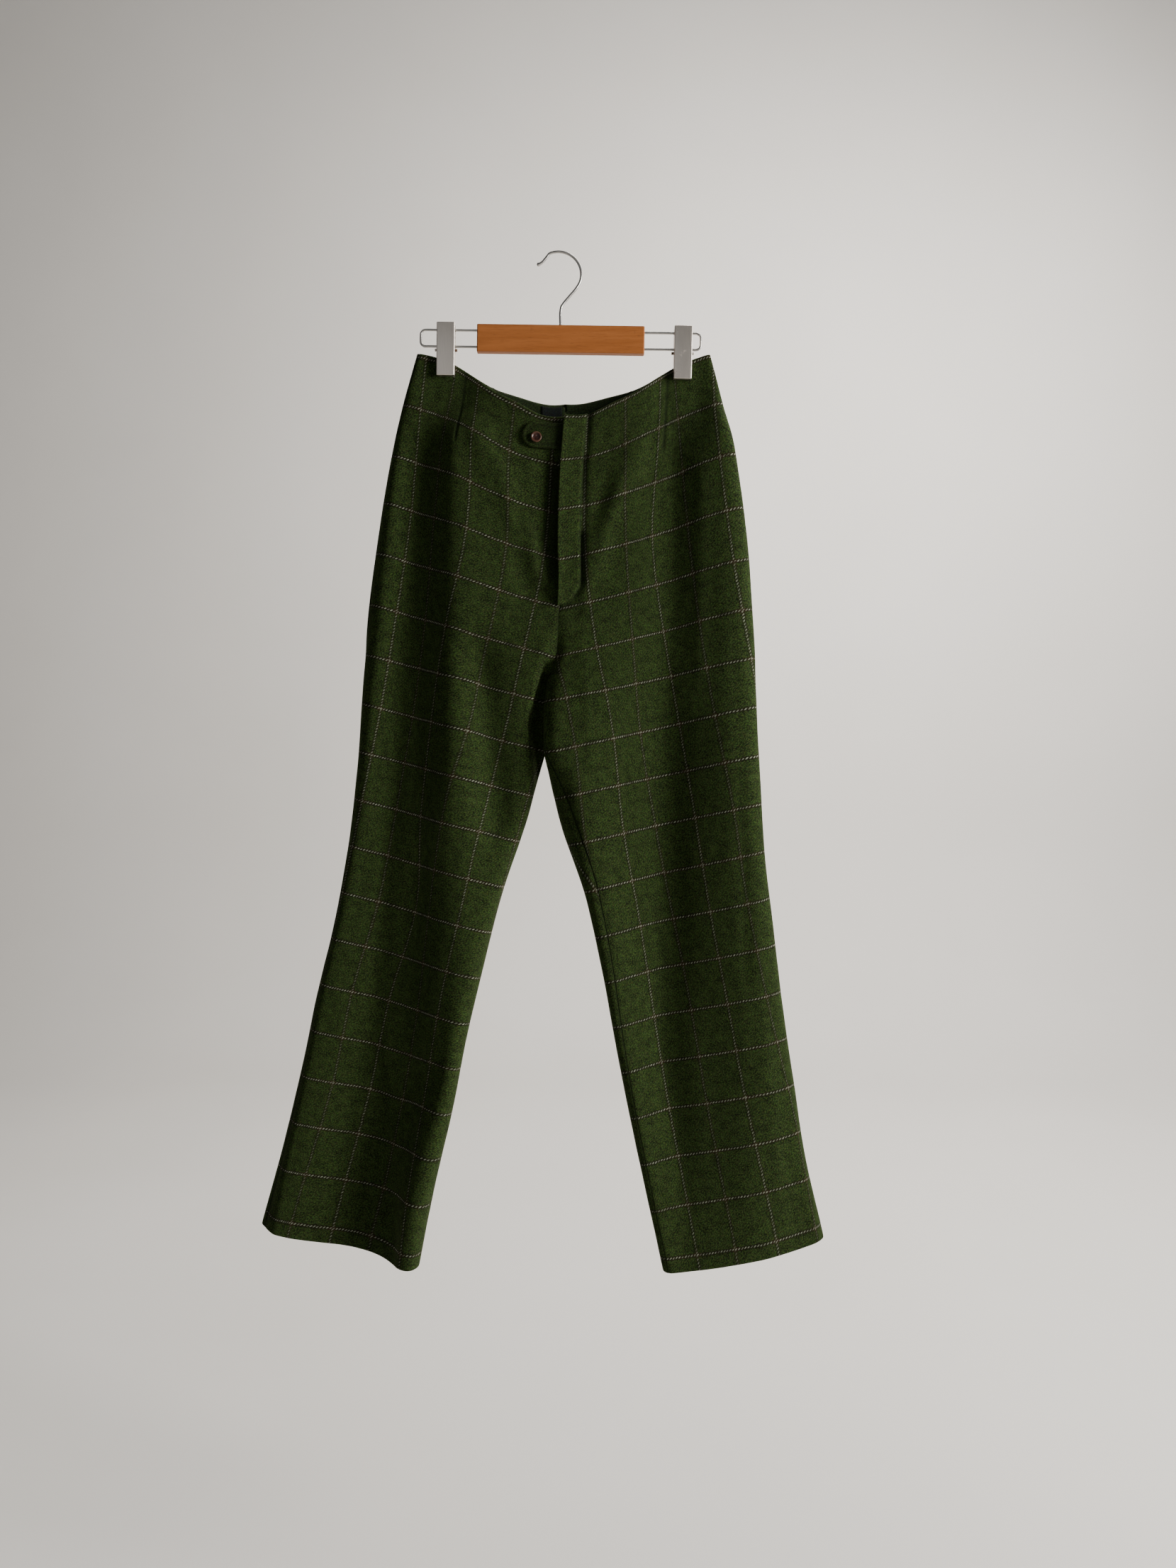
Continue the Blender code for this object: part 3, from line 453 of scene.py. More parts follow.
DEPTHS = {
    "right": (
        (0.000, 4.5, 13, 4.5, 14, 0, 0, 4, 0), (0.066, 6.5, 15, 7, 16, 0, 0, 4, 0),
        (0.145, 8.5, 17, 10, 18, 0, 0, 4, 0), (0.225, 10, 18, 12, 19, 0, 0, 3, 0),
        (0.315, 10.5, 18, 12.5, 18, 0, 0, 3, 0), (0.371, 10, 16, 12, 15, 0, 7, 3, 0),
        (0.470, 9, 15, 11, 14, 0, 5, 4, 0), (0.600, 8, 13, 10, 14, 0, -3, 6, 0),
        (0.800, 7, 11, 9, 15, 0, -10, 8, 0), (1.000, 6.5, 10, 9, 16, 0, -14, 8, 0),
    ),
    "left": (
        (0.000, 4.5, 13, 4.5, 14, 0, 0, 0, 0), (0.066, 7, 15, 7, 16, 0, 0, 0, 0),
        (0.145, 9.5, 17, 10, 18, 0, 0, 0, 0), (0.225, 11, 18, 12, 19, 0, 0, 0, 0),
        (0.315, 12, 18, 12.5, 18, 0, 0, 0, 0), (0.371, 12, 16.5, 12.5, 15, 0, -6, 0, 8),
        (0.470, 11.5, 14.5, 12, 13.5, 0, -6, 0, 26), (0.600, 11, 12.5, 11, 13, 0, -6, 0, 22),
        (0.800, 10.5, 11, 10, 12.5, 1, -7, 0, 14), (1.000, 10, 10, 10, 12, 3, -8, 0, 11),
    ),
}
print("edges at", len(EDGES["right"]), "heights, depths at", len(DEPTHS["right"]))

# %% [markdown]
# A fold is a soft ridge, or a trough where its rise is less than nothing. Each row, in mm, gives the x and
# z of its top and of its foot, how wide the flanks are on the wearer's right and left of its crest, and how
# far it rises at its top and at its foot.

# %% Large folds, the clips' grip and the waves of the waist
FOLDS = {
    "front": (
        (-112, -170, -116, -660, 26, 70, 7, 12), (-116, -600, -114, -980, 46, 60, 12, 15),
        (-118, -920, -197, -1220, 21, 50, 15, 16), (-108, -175, -4, -415, 16, 18, 5, 4),
        (-50, -260, -30, -430, 14, 12, -3, -3), (-95, -420, -70, -700, 22, 22, -8.5, -10),
        (192, -170, 234, -1220, 50, 36, 6, 6), (127, -190, 135, -1220, 30, 20, -2, -1.5),
        (108, -185, 18, -420, 18, 16, 4.5, 4), (66, -240, 34, -340, 11, 11, -3, -3),
    ),
    "back": (
        (-155, -180, -255, -1220, 30, 26, 5, 8), (-105, -220, -20, -520, 22, 20, 5, 4),
        (-130, -450, -210, -1220, 24, 26, -3, -4.5), (148, -190, 235, -1220, 28, 30, 5, 8.5),
        (100, -220, 18, -520, 20, 24, 4.5, 4), (110, -460, 170, -1220, 26, 24, -3, -4.5),
    ),
}
FOLD_FADE = 0.060
CLIP_HEIGHT = 0.0615
CLIPS = {
    "right": (-0.1300, -0.1128, math.radians(0.5)),
    "left": (0.1435, -0.1169, math.radians(1.3)),
}
PINCH_HALF_WIDTH, PINCH_SPREAD, PINCH_RUNOUT = 0.013, 0.020, 0.050
PINCHED_HALF = CLOTH + 0.0003
WAIST_WAVES = {"right": (0.0112, 0.0071), "left": (0.0085, 0.0080)}
WAVE_RUNOUT, HEM_BOW, HEM_BOW_RUNOUT = 0.11, 0.006, 0.05
WAIST_LIFT = {"right": 0.0080, "left": 0.0060}  # how far the waist's edge stands up towards the centre
LIFT_SHARE, LIFT_SPREAD, LIFT_RUNOUT = 0.68, 0.15, 0.028
HEM_DROOP = {"right": 0.007, "left": 0.0}  # how far the hem's inner corner hangs lower
SEAM_MEET, FORK_MEET = 0.0005, 0.0022  # how far the halves press together, along the seam and at the fork
print("large folds:", sum(len(rows) for rows in FOLDS.values()))

# %% [markdown]
# A surface function turns a place on the cloth, down its length and across its width, into a point in
# space. Everything that is sewn later asks it where the cloth is.

# %% Reading the tables
def table(rows, columns):
    """A table's columns by name: the first, how far down the cloth it is, and the others in metres."""
    values = np.array(rows, float).T
    return dict(zip(columns, (values[0], *values[1:] / MM)))


def smooth_between(stations, values, at):
    """A smooth curve through values given at stations, read at one place or at many."""
    slopes = np.gradient(values, stations)
    k = np.clip(np.searchsorted(stations, at) - 1, 0, len(stations) - 2)
    span = stations[k + 1] - stations[k]
    t = (at - stations[k]) / span
    return (
        (2 * t**3 - 3 * t**2 + 1) * values[k] + (t**3 - 2 * t**2 + t) * span * slopes[k]
        + (3 * t**2 - 2 * t**3) * values[k + 1] + (t**3 - t**2) * span * slopes[k + 1]
    )


def step(x):
    """0 below 0, 1 above 1, and smooth between."""
    x = np.clip(x, 0, 1)
    return x * x * (3 - 2 * x)


EDGE = {side: table(rows, EDGE_COLUMNS) for side, rows in EDGES.items()}
DEPTH = {side: table(rows, DEPTH_COLUMNS) for side, rows in DEPTHS.items()}


def edge_at(side, name, down):
    return smooth_between(EDGE[side]["down"], EDGE[side][name], down)


def depth_at(side, name, down):
    return smooth_between(DEPTH[side]["down"], DEPTH[side][name], down)


for side in EDGE:
    hem = edge_at(side, "inner_x", 1) - edge_at(side, "outer_x", 1)
    print(side, "hem is", round(abs(hem) * MM), "mm wide")

# %% Round edges, the clips' grip and folds
def closing(down):
    """How far a half's section has closed at its inner end: 0 open, 1 a closed leg."""
    w = np.clip((down - FORK_TOP) / (CROTCH - FORK_TOP), 0, 1)
    return (1 - np.sqrt(1 - w * w) ** ROUNDNESS) ** (1 / ROUNDNESS)


def rounding(side, face, share, down, width):
    outer_part = OUTER_ROUND * depth_at(side, face + "_outer", down) / width
    inner_part = INNER_ROUND[side] * depth_at(side, face + "_inner", down) / width
    outer = 1 - np.clip(share / outer_part, 0, 1)
    inner = np.clip((share - 1 + inner_part) / inner_part, 0, 1) * closing(down)
    return (1 - outer**ROUNDNESS) ** (1 / ROUNDNESS) * (1 - inner**ROUNDNESS) ** (1 / ROUNDNESS)


def pinch(x, z):
    """1 where a clip grips the cloth, 0 well away from the clips."""
    total = 0
    for middle_x, middle_z, _ in CLIPS.values():
        across = np.maximum(np.abs(x - middle_x) - PINCH_HALF_WIDTH, 0) / PINCH_SPREAD
        below = np.maximum(middle_z - CLIP_HEIGHT / 2 - z, 0) / PINCH_RUNOUT
        total = total + np.exp(-(across**2) - below**2)
    return np.minimum(total, 1)


def folds(table_of_folds, face, x, z, fade_length=FOLD_FADE):
    """How far the folds of a table stand out of a face."""
    total = np.zeros_like(x)
    for row in table_of_folds[face]:
        top_x, top_z, foot_x, foot_z, right_flank, left_flank, top_rise, foot_rise = np.array(row) / MM
        along = (top_z - z) / (top_z - foot_z)
        crest = top_x + (foot_x - top_x) * along
        flank = np.where(x < crest, right_flank, left_flank)
        rise = top_rise + (foot_rise - top_rise) * np.clip(along, 0, 1)
        fade = step((top_z - z) / fade_length) * step((z - foot_z) / fade_length)
        total += rise * fade * np.exp(-(((x - crest) / flank) ** 2))
    return total


print("clips press the cloth to", round(PINCHED_HALF * 2 * MM, 1), "mm")


# %% The surface
MEET_GROWS, MEET_ENDS = 0.270, 0.345  # how far down the halves press together more, and then no longer


def surface(side, face, share, down):
    """Points of one face of one half, share of the way from the outer edge to the inner one."""
    outer_x, outer_z = edge_at(side, "outer_x", down), edge_at(side, "outer_z", down)
    inner_x, inner_z = edge_at(side, "inner_x", down), edge_at(side, "inner_z", down)
    meet = SEAM_MEET + (FORK_MEET - SEAM_MEET) * step((down - MEET_GROWS) / 0.03)
    meet = meet * (1 - step((down - MEET_ENDS) / 0.035))
    inner_x += (meet - SEAM_GAP / 2) * (1 if side == "right" else -1)
    x = outer_x + (inner_x - outer_x) * share
    first, second = WAIST_WAVES[side]
    wave = first * np.sin(2 * math.pi * share) - second * np.sin(math.pi * share)
    z = outer_z + (inner_z - outer_z) * share + wave * np.exp(-down / WAVE_RUNOUT)
    lift = WAIST_LIFT[side] * (1.0 if face == "front" else 0.6)
    z = z + lift * np.exp(-(((share - LIFT_SHARE) / LIFT_SPREAD) ** 2) - down / LIFT_RUNOUT)
    bow = HEM_BOW * (1 - (2 * share - 1) ** 4) + HEM_DROOP[side] * step((share - 0.55) / 0.45)
    z = z - bow * np.exp((down - 1) / HEM_BOW_RUNOUT)
    if face == "back":
        z = z + BACK_RISE * step((share - 0.25) / 0.6) * (1 - step(down / CROTCH))
    outward = -1 if face == "front" else 1
    across = step((share - 0.15) / 0.6)
    outer_y, inner_y = depth_at(side, "outer_y", down), depth_at(side, "inner_y", down)
    middle_y = outer_y + step((share - 0.45) / 0.5) * (inner_y - outer_y)
    half = depth_at(side, face + "_outer", down) * (1 - across)
    half = half + depth_at(side, face + "_inner", down) * across + folds(FOLDS, face, x, z)
    half = np.maximum(half, PINCHED_HALF)
    pressed = pinch(x, z)
    half = half * (1 - pressed) + PINCHED_HALF * pressed
    y = middle_y * (1 - pressed) + outward * half * rounding(side, face, share, down, abs(inner_x - outer_x))
    return np.stack([x, y, z], -1)


hem_z = surface("left", "front", 0.5, 1.0)[2]
print("the middle of the left hem hangs", round(-float(hem_z), 3), "m below the hook")

# %% [markdown]
# A section is one half's outline at one height, as a row of points with their distance along the cloth.
# Distances start at the outer fold of the half. The seams lie where the tables put them, a little to the
# front or the back of that fold, and a panel runs from one seam to the other.

# %% Sections, and where a panel starts and ends
DENSE = 0.5 - 0.5 * np.cos(np.linspace(0, math.pi, 361))
PAST_SEAM = 0.005  # how far an open section is carried on past the centre seam


def lengths(points):
    return np.concatenate([[0], np.cumsum(np.linalg.norm(np.diff(points, axis=0), axis=1))])


def section(side, face, down):
    """One half's section: its points past both edges of a face, and how far each lies along the cloth."""
    this = surface(side, face, DENSE, down)
    other = surface(side, "back" if face == "front" else "front", DENSE, down)
    onward = (this[-1:] - this[-2:-1]) / np.linalg.norm(this[-1] - this[-2])
    tail = other[::-1][1:] if closing(down) >= 1 else this[-1:] + onward * PAST_SEAM
    points = np.concatenate([other[::-1][:-1], this, tail])
    return points, lengths(points) - lengths(other)[-1], lengths(this)[-1]


def read(points, distance, at):
    return np.stack([np.interp(at, distance, points[:, k]) for k in range(3)], 1)


def panel_ends(side, face, down, face_length):
    side_seam = depth_at(side, "side_seam", down)
    inseam = max(depth_at(side, "inseam", down), 0) if closing(down) >= 1 else 0
    if face == "front":
        return side_seam + SEAM_GAP / 2, face_length - inseam - SEAM_GAP / 2
    return -side_seam + SEAM_GAP / 2, face_length + inseam - SEAM_GAP / 2


for side in EDGE:
    span = lengths(surface(side, "front", DENSE, 0.6))[-1]
    print(side, "front is", round(span * MM), "mm wide at the knee")

# On the fronts a short table says where five upright lines cross the width at each height, because
# the darts and the pull of the clips bend them. On the backs they are simply spaced along the cloth
# from the side seam.

# %% Where the lines of the check lie
LEVEL = {
    "right": ((0.0, -0.08), (0.060, 1), (0.119, 2), (0.173, 3), (0.290, 5), (0.984, 18), (1.0, 18.3)),
    "left": ((0.0, -0.06), (0.057, 1), (0.117, 2), (0.177, 3), (0.290, 5), (0.984, 18), (1.0, 18.3)),
}  # how far down the cloth, and the number of the level line there
GRAIN_COLUMNS = ("down", "line_0", "line_1", "line_2", "line_3", "line_4")
GRAIN = {
    "right": (
        (0.000, -152, -118, -92, -50, -4), (0.064, -159, -129, -97, -56, -8),
        (0.177, -169, -142, -104, -59, -16), (0.290, -185, -152, -126, -79, -39),
        (0.397, -202, -166, -144, -104, -62), (0.504, -223, -185, -156, -130, -89),
        (0.610, -245, -205, -161, -146, -112), (0.717, -271, -235, -193, -159, -135),
        (0.824, -299, -258, -217, -177, -153), (0.984, -350, -305, -259, -217, -177),
    ),
    "left": (
        (0.000, 34, 77, 118, 133, 178), (0.064, 31, 77, 116, 138, 180), (0.177, 31, 78, 108, 148, 192),
        (0.290, 44, 85, 121, 161, 208), (0.397, 63, 94, 138, 178, 226), (0.504, 75, 112, 156, 199, 239),
        (0.610, 95, 132, 173, 215, 257), (0.717, 112, 152, 193, 236, 277),
        (0.824, 129, 170, 213, 262, 301), (0.984, 159, 202, 249, 296, 338),
    ),
}
GRAIN_LINE = {side: table(rows, GRAIN_COLUMNS) for side, rows in GRAIN.items()}


def along_cloth(side, down):
    """How far down the flat cloth a place is, with a level line at every whole number of checks."""
    stations, lines = np.array(LEVEL[side]).T
    return smooth_between(stations, lines, down) * CHECK_TALL / MM


def across_cloth(side, face, down, points, at):
    """How far across the flat cloth each place of a row is, seen from outside with the waist at the top."""
    spacing = CHECK_WIDE / MM
    if face == "back":
        return at * (-1 if side == "right" else 1) + spacing * 0.5
    grain = GRAIN_LINE[side]
    lines = [smooth_between(grain["down"], grain[name], down) for name in GRAIN_COLUMNS[1:]]
    order = np.argsort(points[:, 0])
    turned = at * (1 if side == "right" else -1)
    here = np.interp(lines, points[order, 0], turned[order])
    inside = np.interp(turned, here, np.arange(5) * spacing)
    return inside + np.minimum(turned - here[0], 0) + np.maximum(turned - here[-1], 0)


print("level lines on a side:", int(LEVEL["right"][-1][1]))

# %% [markdown]
# ## Creases, darts and seams
# The large folds are in the tables above. The cloth also has creases of its own, a stitched dart below
# each clip, two more at the back, and seams whose edges roll in. They could be a bump in the material, but
# a bump leaves the outline and the shadows flat. So all are moves of the surface in or out, as functions
# that are added together before the mesh is made. The first creases of the front deepen the large folds,
# and the others are small and uneven. Their rows read like those of the folds, in mm.

# %% Creases and the places of the sewn details
CREASES = {
    "front": (
        (-116, -155, -116, -620, 24, 30, 6, 6), (-116, -570, -112, -950, 36, 30, 6, 4.5),
        (-112, -900, -195, -1220, 16, 22, 4.5, 3.5), (-155, -180, -192, -620, 20, 14, -4, -4.5),
        (-190, -570, -222, -950, 22, 18, -4.5, -4.5), (-220, -900, -185, -1220, 50, 18, -5.5, -11),
        (-180, -200, -228, -700, 12, 26, 6, 7), (-224, -650, -343, -1220, 12, 54, 6.5, 13.5),
        (191, -150, 206, -620, 42, 30, 6, 8), (205, -570, 236, -980, 50, 30, 8, 7.5),
        (236, -930, 205, -1220, 50, 55, 7.5, 5), (136, -170, 119, -550, 40, 20, -3.5, -5),
        (119, -500, 115, -950, 52, 29, -6.5, -15), (115, -900, 141, -1220, 44, 28, -15, -4.5),
        (16, -395, 14, -620, 120, 60, 4.5, 7), (14, -570, 76, -950, 14, 36, 7, 7),
        (74, -900, 132, -1220, 14, 28, 7, 5), (-145, -190, -156, -360, 6, 7, -1.2, -0.6),
        (-90, -205, -56, -330, 7, 6, -1, -0.8), (-24, -290, -16, -430, 6, 5, -1.4, -1.6),
        (-40, -470, -56, -660, 7, 9, 1.2, 0.6), (-190, -520, -230, -900, 9, 8, 0.9, 1.2),
        (-220, -900, -270, -1150, 10, 8, -0.9, -1.3), (-118, -760, -156, -1160, 9, 10, -0.8, -1.4),
        (24, -420, 42, -620, 8, 7, 1.1, 0.8), (90, -220, 56, -390, 8, 7, -1, -1.2),
        (165, -220, 160, -520, 8, 9, 1, 1.2), (202, -420, 216, -860, 8, 7, -1, -1.1),
        (86, -800, 144, -1150, 10, 9, 0.8, 1.3), (230, -860, 260, -1150, 9, 10, 0.9, 1.3),
    ),
    "back": (
        (-70, -230, -30, -390, 8, 7, -1.2, -1), (-135, -200, -145, -380, 8, 9, 1.2, 0.8),
        (-60, -460, -105, -660, 8, 9, -1.4, -1), (-200, -600, -260, -1150, 10, 9, 0.9, 1.3),
        (65, -230, 30, -400, 7, 8, -1, -1.2), (135, -220, 150, -420, 9, 8, 1, 0.9),
        (45, -470, 80, -680, 9, 8, -1.3, -1.2), (195, -600, 230, -1150, 9, 10, 1, 1.2),
    ),
}
CREASE_FADE = 0.05
DARTS = {
    "front": ((-106, -133, -117, -229), (127.5, -133, 120, -240)),
    "back": ((-76, -128, -80, -230), (84, -128, 86, -232)),
}  # top x and z, and foot x and z
DART_HALF, DART_DEPTH, DART_SWELL = 0.0016, 0.0011, 0.0011
SLOT = (
    (-460, -6), (-475, -18), (-527, -29), (-545, -32.5), (-581, -30), (-617, -27), (-650, -30),
)  # the shadowed slot's left edge: z and x
SLOT_SUNK = 0.92  # how much of the way back to its seam the inside of the right thigh falls
ROLL, ROLL_DEPTH = 0.0042, 0.0007  # how far from a seam its edge starts to roll in, and how deep it goes
STITCH_WIDTH, STITCH_DEPTH = 0.0046, 0.0030  # the groove beside the fly's J-shaped stitching
FLY_WIDTH, FLY_LENGTH, FLY_LAP, FLY_FOOT_DOWN = 0.0270, 0.218, 0.0005, 0.235
UNDER_FLY, UNDER_FLY_DEPTH = 0.0185, 0.0072  # how the right front sinks where the fly laps over it
UNDERLAP = 0.003  # how far the right front runs on under the fly
TAB_LENGTH, TAB_HEIGHT, TAB_DROP = 0.0465, 0.030, 0.0245
print("creases:", sum(len(rows) for rows in CREASES.values()))


# %% Functions of the sewn details
def darts(face, x, z):
    """How deep the stitched line of a dart is at each place, and the swelling beside and below it."""
    groove, swell = np.zeros_like(x), np.zeros_like(x)
    for row in DARTS[face]:
        top_x, top_z, foot_x, foot_z = np.array(row) / MM
        along = (top_z - z) / (top_z - foot_z)
        line = top_x + (foot_x - top_x) * along
        inside = step((along + 0.3) / 0.1) * step((1.02 - along) / 0.18)
        groove += inside * np.exp(-(((x - line) / DART_HALF) ** 2))
        beside = np.exp(-(((x - line) / 0.009) ** 2))
        swell += step((along - 0.1) / 0.5) * step((1.7 - along) / 0.6) * beside
    return groove, swell


def fly_outline(count):
    """The J-shaped edge of the fly: how far it lies from the centre, and how far below the waist."""
    drop = np.linspace(0, FLY_LENGTH, count)
    foot = FLY_LENGTH - FLY_WIDTH * 0.95
    bend = np.clip((drop - foot) / (FLY_LENGTH - foot), 0, 1)
    return FLY_WIDTH * np.sqrt(1 - bend * bend), drop


def stitch_groove(from_centre, down):
    """1 at the J-shaped stitching and 0 away from it, for a grid of places on the left front."""
    drop = (edge_at("left", "inner_z", 0) - edge_at("left", "inner_z", down))[:, None]
    width, fall = fly_outline(120)
    sideways = from_centre[..., None] - width
    away = np.hypot(sideways, (drop + 0 * from_centre)[..., None] - fall).min(-1)
    outside = from_centre > np.interp(drop, fall, width)
    return np.exp(-((away / STITCH_WIDTH) ** 2)) * outside


def thigh_slot(x, z):
    """How far into the shadowed slot between the thighs each place of the right front is."""
    slot_z, slot_x = np.array(SLOT).T / MM
    left_edge = np.interp(-z, -slot_z, slot_x)
    inside = step((x - left_edge) / 0.006 + 0.5)
    return inside * step((-0.462 - z) / 0.018) * step((z + 0.640) / 0.035)


def unevenness(side, face, across, along):
    """Gentle random lumps of worn cloth: broad along its length, and finer ones."""
    seed = {"right": 3.1, "left": 8.7}[side] + {"front": 0.0, "back": 20.0}[face]
    broad = [noise.noise(Vector((a * 22, b * 5.5, seed))) for a, b in zip(across, along)]
    fine = [noise.noise(Vector((a * 75, b * 30, seed + 40))) for a, b in zip(across, along)]
    return np.array(broad) * 0.0010 + np.array(fine) * 0.00022


groove, _ = darts("front", np.array([-0.110]), np.array([-0.168]))
print("dart groove at its middle:", round(float(groove[0]) * DART_DEPTH * MM, 2), "mm")

# %% [markdown]
# ## From surface to cloth
# A panel is a grid of points read from the surface and pushed in and out by the creases. A Solidify
# modifier could give it a wall, but with a square rim. Here the grid is copied inwards instead, by more at
# the turned-up hem, and the rim is rounded, since a folded wool edge is never sharp. The grid is closer at
# the seams and darts, where the shape changes fastest.

# %% Measures of a grid
def grid_normals(points, face):
    """The direction out of the cloth at each point of a grid on the front or the back."""
    normal = np.cross(np.gradient(points, axis=1), np.gradient(points, axis=0))
    normal = normal / np.linalg.norm(normal, axis=2)[:, :, None]
    return normal if (normal[:, :, 1].mean() < 0) == (face == "front") else -normal


def edge_distance(points):
    """How far each point of a grid is from its nearest rim, along the cloth."""
    across = np.linalg.norm(np.diff(points, axis=1), axis=2)
    down = np.linalg.norm(np.diff(points, axis=0), axis=2)
    left = np.concatenate([np.zeros((len(points), 1)), np.cumsum(across, axis=1)], axis=1)
    top = np.concatenate([np.zeros((1, points.shape[1])), np.cumsum(down, axis=0)])
    return np.minimum.reduce([left, left[:, -1:] - left, top, top[-1:] - top])


def crowd(count, spots):
    """Even shares from 0 to 1, drawn towards some spots of (place, width, strength)."""
    fine = np.linspace(0, 1, 2001)
    density = np.ones_like(fine)
    for place, width, strength in spots:
        density += strength * np.exp(-(((fine - place) / width) ** 2))
    total = np.cumsum(density)
    total = (total - total[0]) / (total[-1] - total[0])
    return np.interp(np.linspace(0, 1, count), total, fine)


print("ten shares drawn to the ends:", crowd(10, ((0, 0.1, 4), (1, 0.1, 4))).round(2))


# %% Building a wall of cloth from a grid
RIM = 0.46  # the rounding of the rim, in wall thicknesses


def make_wall(name, outer, normals, wall, flat_map, shade, material):
    """A closed wall: the outer grid, the inner one a wall's thickness in, and a rounded rim."""
    rows, columns = outer.shape[:2]
    wall = np.broadcast_to(wall, (rows, columns))
    radius = wall * RIM
    inset = np.clip(edge_distance(outer) / radius, 0, 1)
    lowered = radius * (1 - np.sqrt(1 - (1 - inset) ** 2))
    top = outer - normals * lowered[:, :, None]
    bottom = outer - normals * (wall - lowered)[:, :, None]
    count = rows * columns
    index = np.arange(count).reshape(rows, columns)
    a, b = index[:-1, :-1].ravel(), index[:-1, 1:].ravel()
    c, d = index[1:, 1:].ravel(), index[1:, :-1].ravel()
    rim = np.concatenate([index[0], index[1:, -1], index[-1, -2::-1], index[-2:0:-1, 0]])
    after = np.roll(rim, -1)
    quads = np.concatenate([
        np.stack([a, d, c, b], 1), np.stack([a, b, c, d], 1) + count,
        np.stack([rim, after, after + count, rim + count], 1),
    ])
    mesh = bpy.data.meshes.new(name)
    mesh.from_pydata(np.concatenate([top.reshape(-1, 3), bottom.reshape(-1, 3)]).tolist(), [], quads.tolist())
    flat = np.tile(flat_map.reshape(-1, 2), (2, 1))[quads.ravel()]
    mesh.uv_layers.new(name="cloth").data.foreach_set("uv", flat.astype(np.float32).ravel())
    painted = mesh.attributes.new("shade", "FLOAT", "POINT")
    painted.data.foreach_set("value", np.tile(shade.ravel(), 2).astype(np.float32))
    mesh.shade_smooth()
    made = bmesh.new()
    made.from_mesh(mesh)
    if made.calc_volume(signed=True) < 0:
        bmesh.ops.reverse_faces(made, faces=made.faces)
        made.to_mesh(mesh)
    made.free()
    return in_scene(name, mesh, material)


def cloth_area(piece):
    """The area of one side of a wall of cloth, in square metres."""
    return sum(face.area for face in piece.data.polygons) / 2


print("rims rounded over", round(CLOTH * RIM * MM, 2), "mm")

# %% [markdown]
# The grid of a panel also keeps, for every point, its place on the flat cloth, how far it is from the
# panel's two ends, and where creases have to die out, because the cloth turns round to the other face.

# %% A panel's grid
ROWS, COLUMNS = 250, 96
RIM_FADE = 0.014  # creases die out this close to where the cloth turns round


UNDERLAP_STARTS, UNDERLAP_ENDS = 0.045, 0.215  # how far down the right front reaches under the fly


def panel_grid(side, face):
    """How far down each row is, and for each point: its place, flat place, two distances, fade and turn."""
    downs = crowd(ROWS, ((0.0, 0.003, 6), (1.0, 0.003, 6), (0.29, 0.05, 0.8), (0.06, 0.06, 0.5)))
    dart_share = 0.36 if face == "front" else 0.52
    shares = crowd(COLUMNS, ((0.0, 0.012, 7), (1.0, 0.012, 7), (dart_share, 0.06, 1.6)))
    rows = []
    for down in downs:
        line, distance, length = section(side, face, down)
        start, end = panel_ends(side, face, down, length)
        if (face, side) == ("front", "right"):
            ends_here = 1 - step((down - UNDERLAP_ENDS) / 0.03)
            end += UNDERLAP * ends_here * step((down - UNDERLAP_STARTS) / 0.02)
        at = start + (end - start) * shares
        points = read(line, distance, at)
        across = across_cloth(side, face, down, points, at)
        flat = np.stack([across, np.full(len(at), along_cloth(side, down))], 1)
        at_inner_rim = 1 - closing(down) * (1 - step(np.abs(length - at) / RIM_FADE))
        fade = step(np.abs(at) / RIM_FADE) * at_inner_rim
        rows.append((points, flat, at - start, end - at, fade, (at < 0) | (at > length)))
    return downs, *(np.array(part) for part in zip(*rows))


print("a panel has", ROWS, "x", COLUMNS, "points a side")

# %% [markdown]
# The creases, darts and lumps are added up into one move in or out. On the fronts the fly changes that:
# the left front is flat under the strip, with a stitched groove round it, and the right front sinks
# below it. The hem is turned up inside, so the wall is thicker there.

# %% What the fly does to the fronts
PRESS_STARTS, PRESS_ENDS = 0.045, 0.175  # how far down the fly presses on the right front
TAB_FOOT = 0.055  # how far down the tab's lower edge is


def fly_moves(side, downs, from_end, move):
    """The move of a front with the fly taken into account, and the shade there."""
    if side == "left":
        in_fly = step((downs - FLY_FOOT_DOWN) / 0.02)[:, None]
        near_centre = step((FLY_WIDTH + 0.004 - from_end) / 0.004)
        stitching = stitch_groove(from_end, downs)
        # Painted shade along the J stitching.
        return move * (1 - near_centre * (1 - in_fly)) - STITCH_DEPTH * stitching, stitching * 0.75
    above_fork = (1 - step((downs - PRESS_ENDS) / 0.045))[:, None]
    under_fly = np.exp(-((from_end / UNDER_FLY) ** 2)) * above_fork
    below_tab = step((downs - TAB_FOOT) / 0.02)[:, None]
    on_tab = step((TAB_LENGTH + 0.006 - from_end) / 0.006) * (1 - below_tab)
    sunk = UNDER_FLY_DEPTH * under_fly * step((downs - PRESS_STARTS) / 0.02)[:, None]
    # Painted shade on the right front under the fly's edge, where its shadow falls.
    return move * (1 - on_tab) - sunk, under_fly * 0.60 * step((downs - 0.05) / 0.02)[:, None]


print("the right front sinks", UNDER_FLY_DEPTH * MM, "mm under the fly")

# %% The four panels
HEM_TURN, HEM_TURN_WALL = 0.034, 0.0011  # the hem turned up inside, and how much it thickens the wall


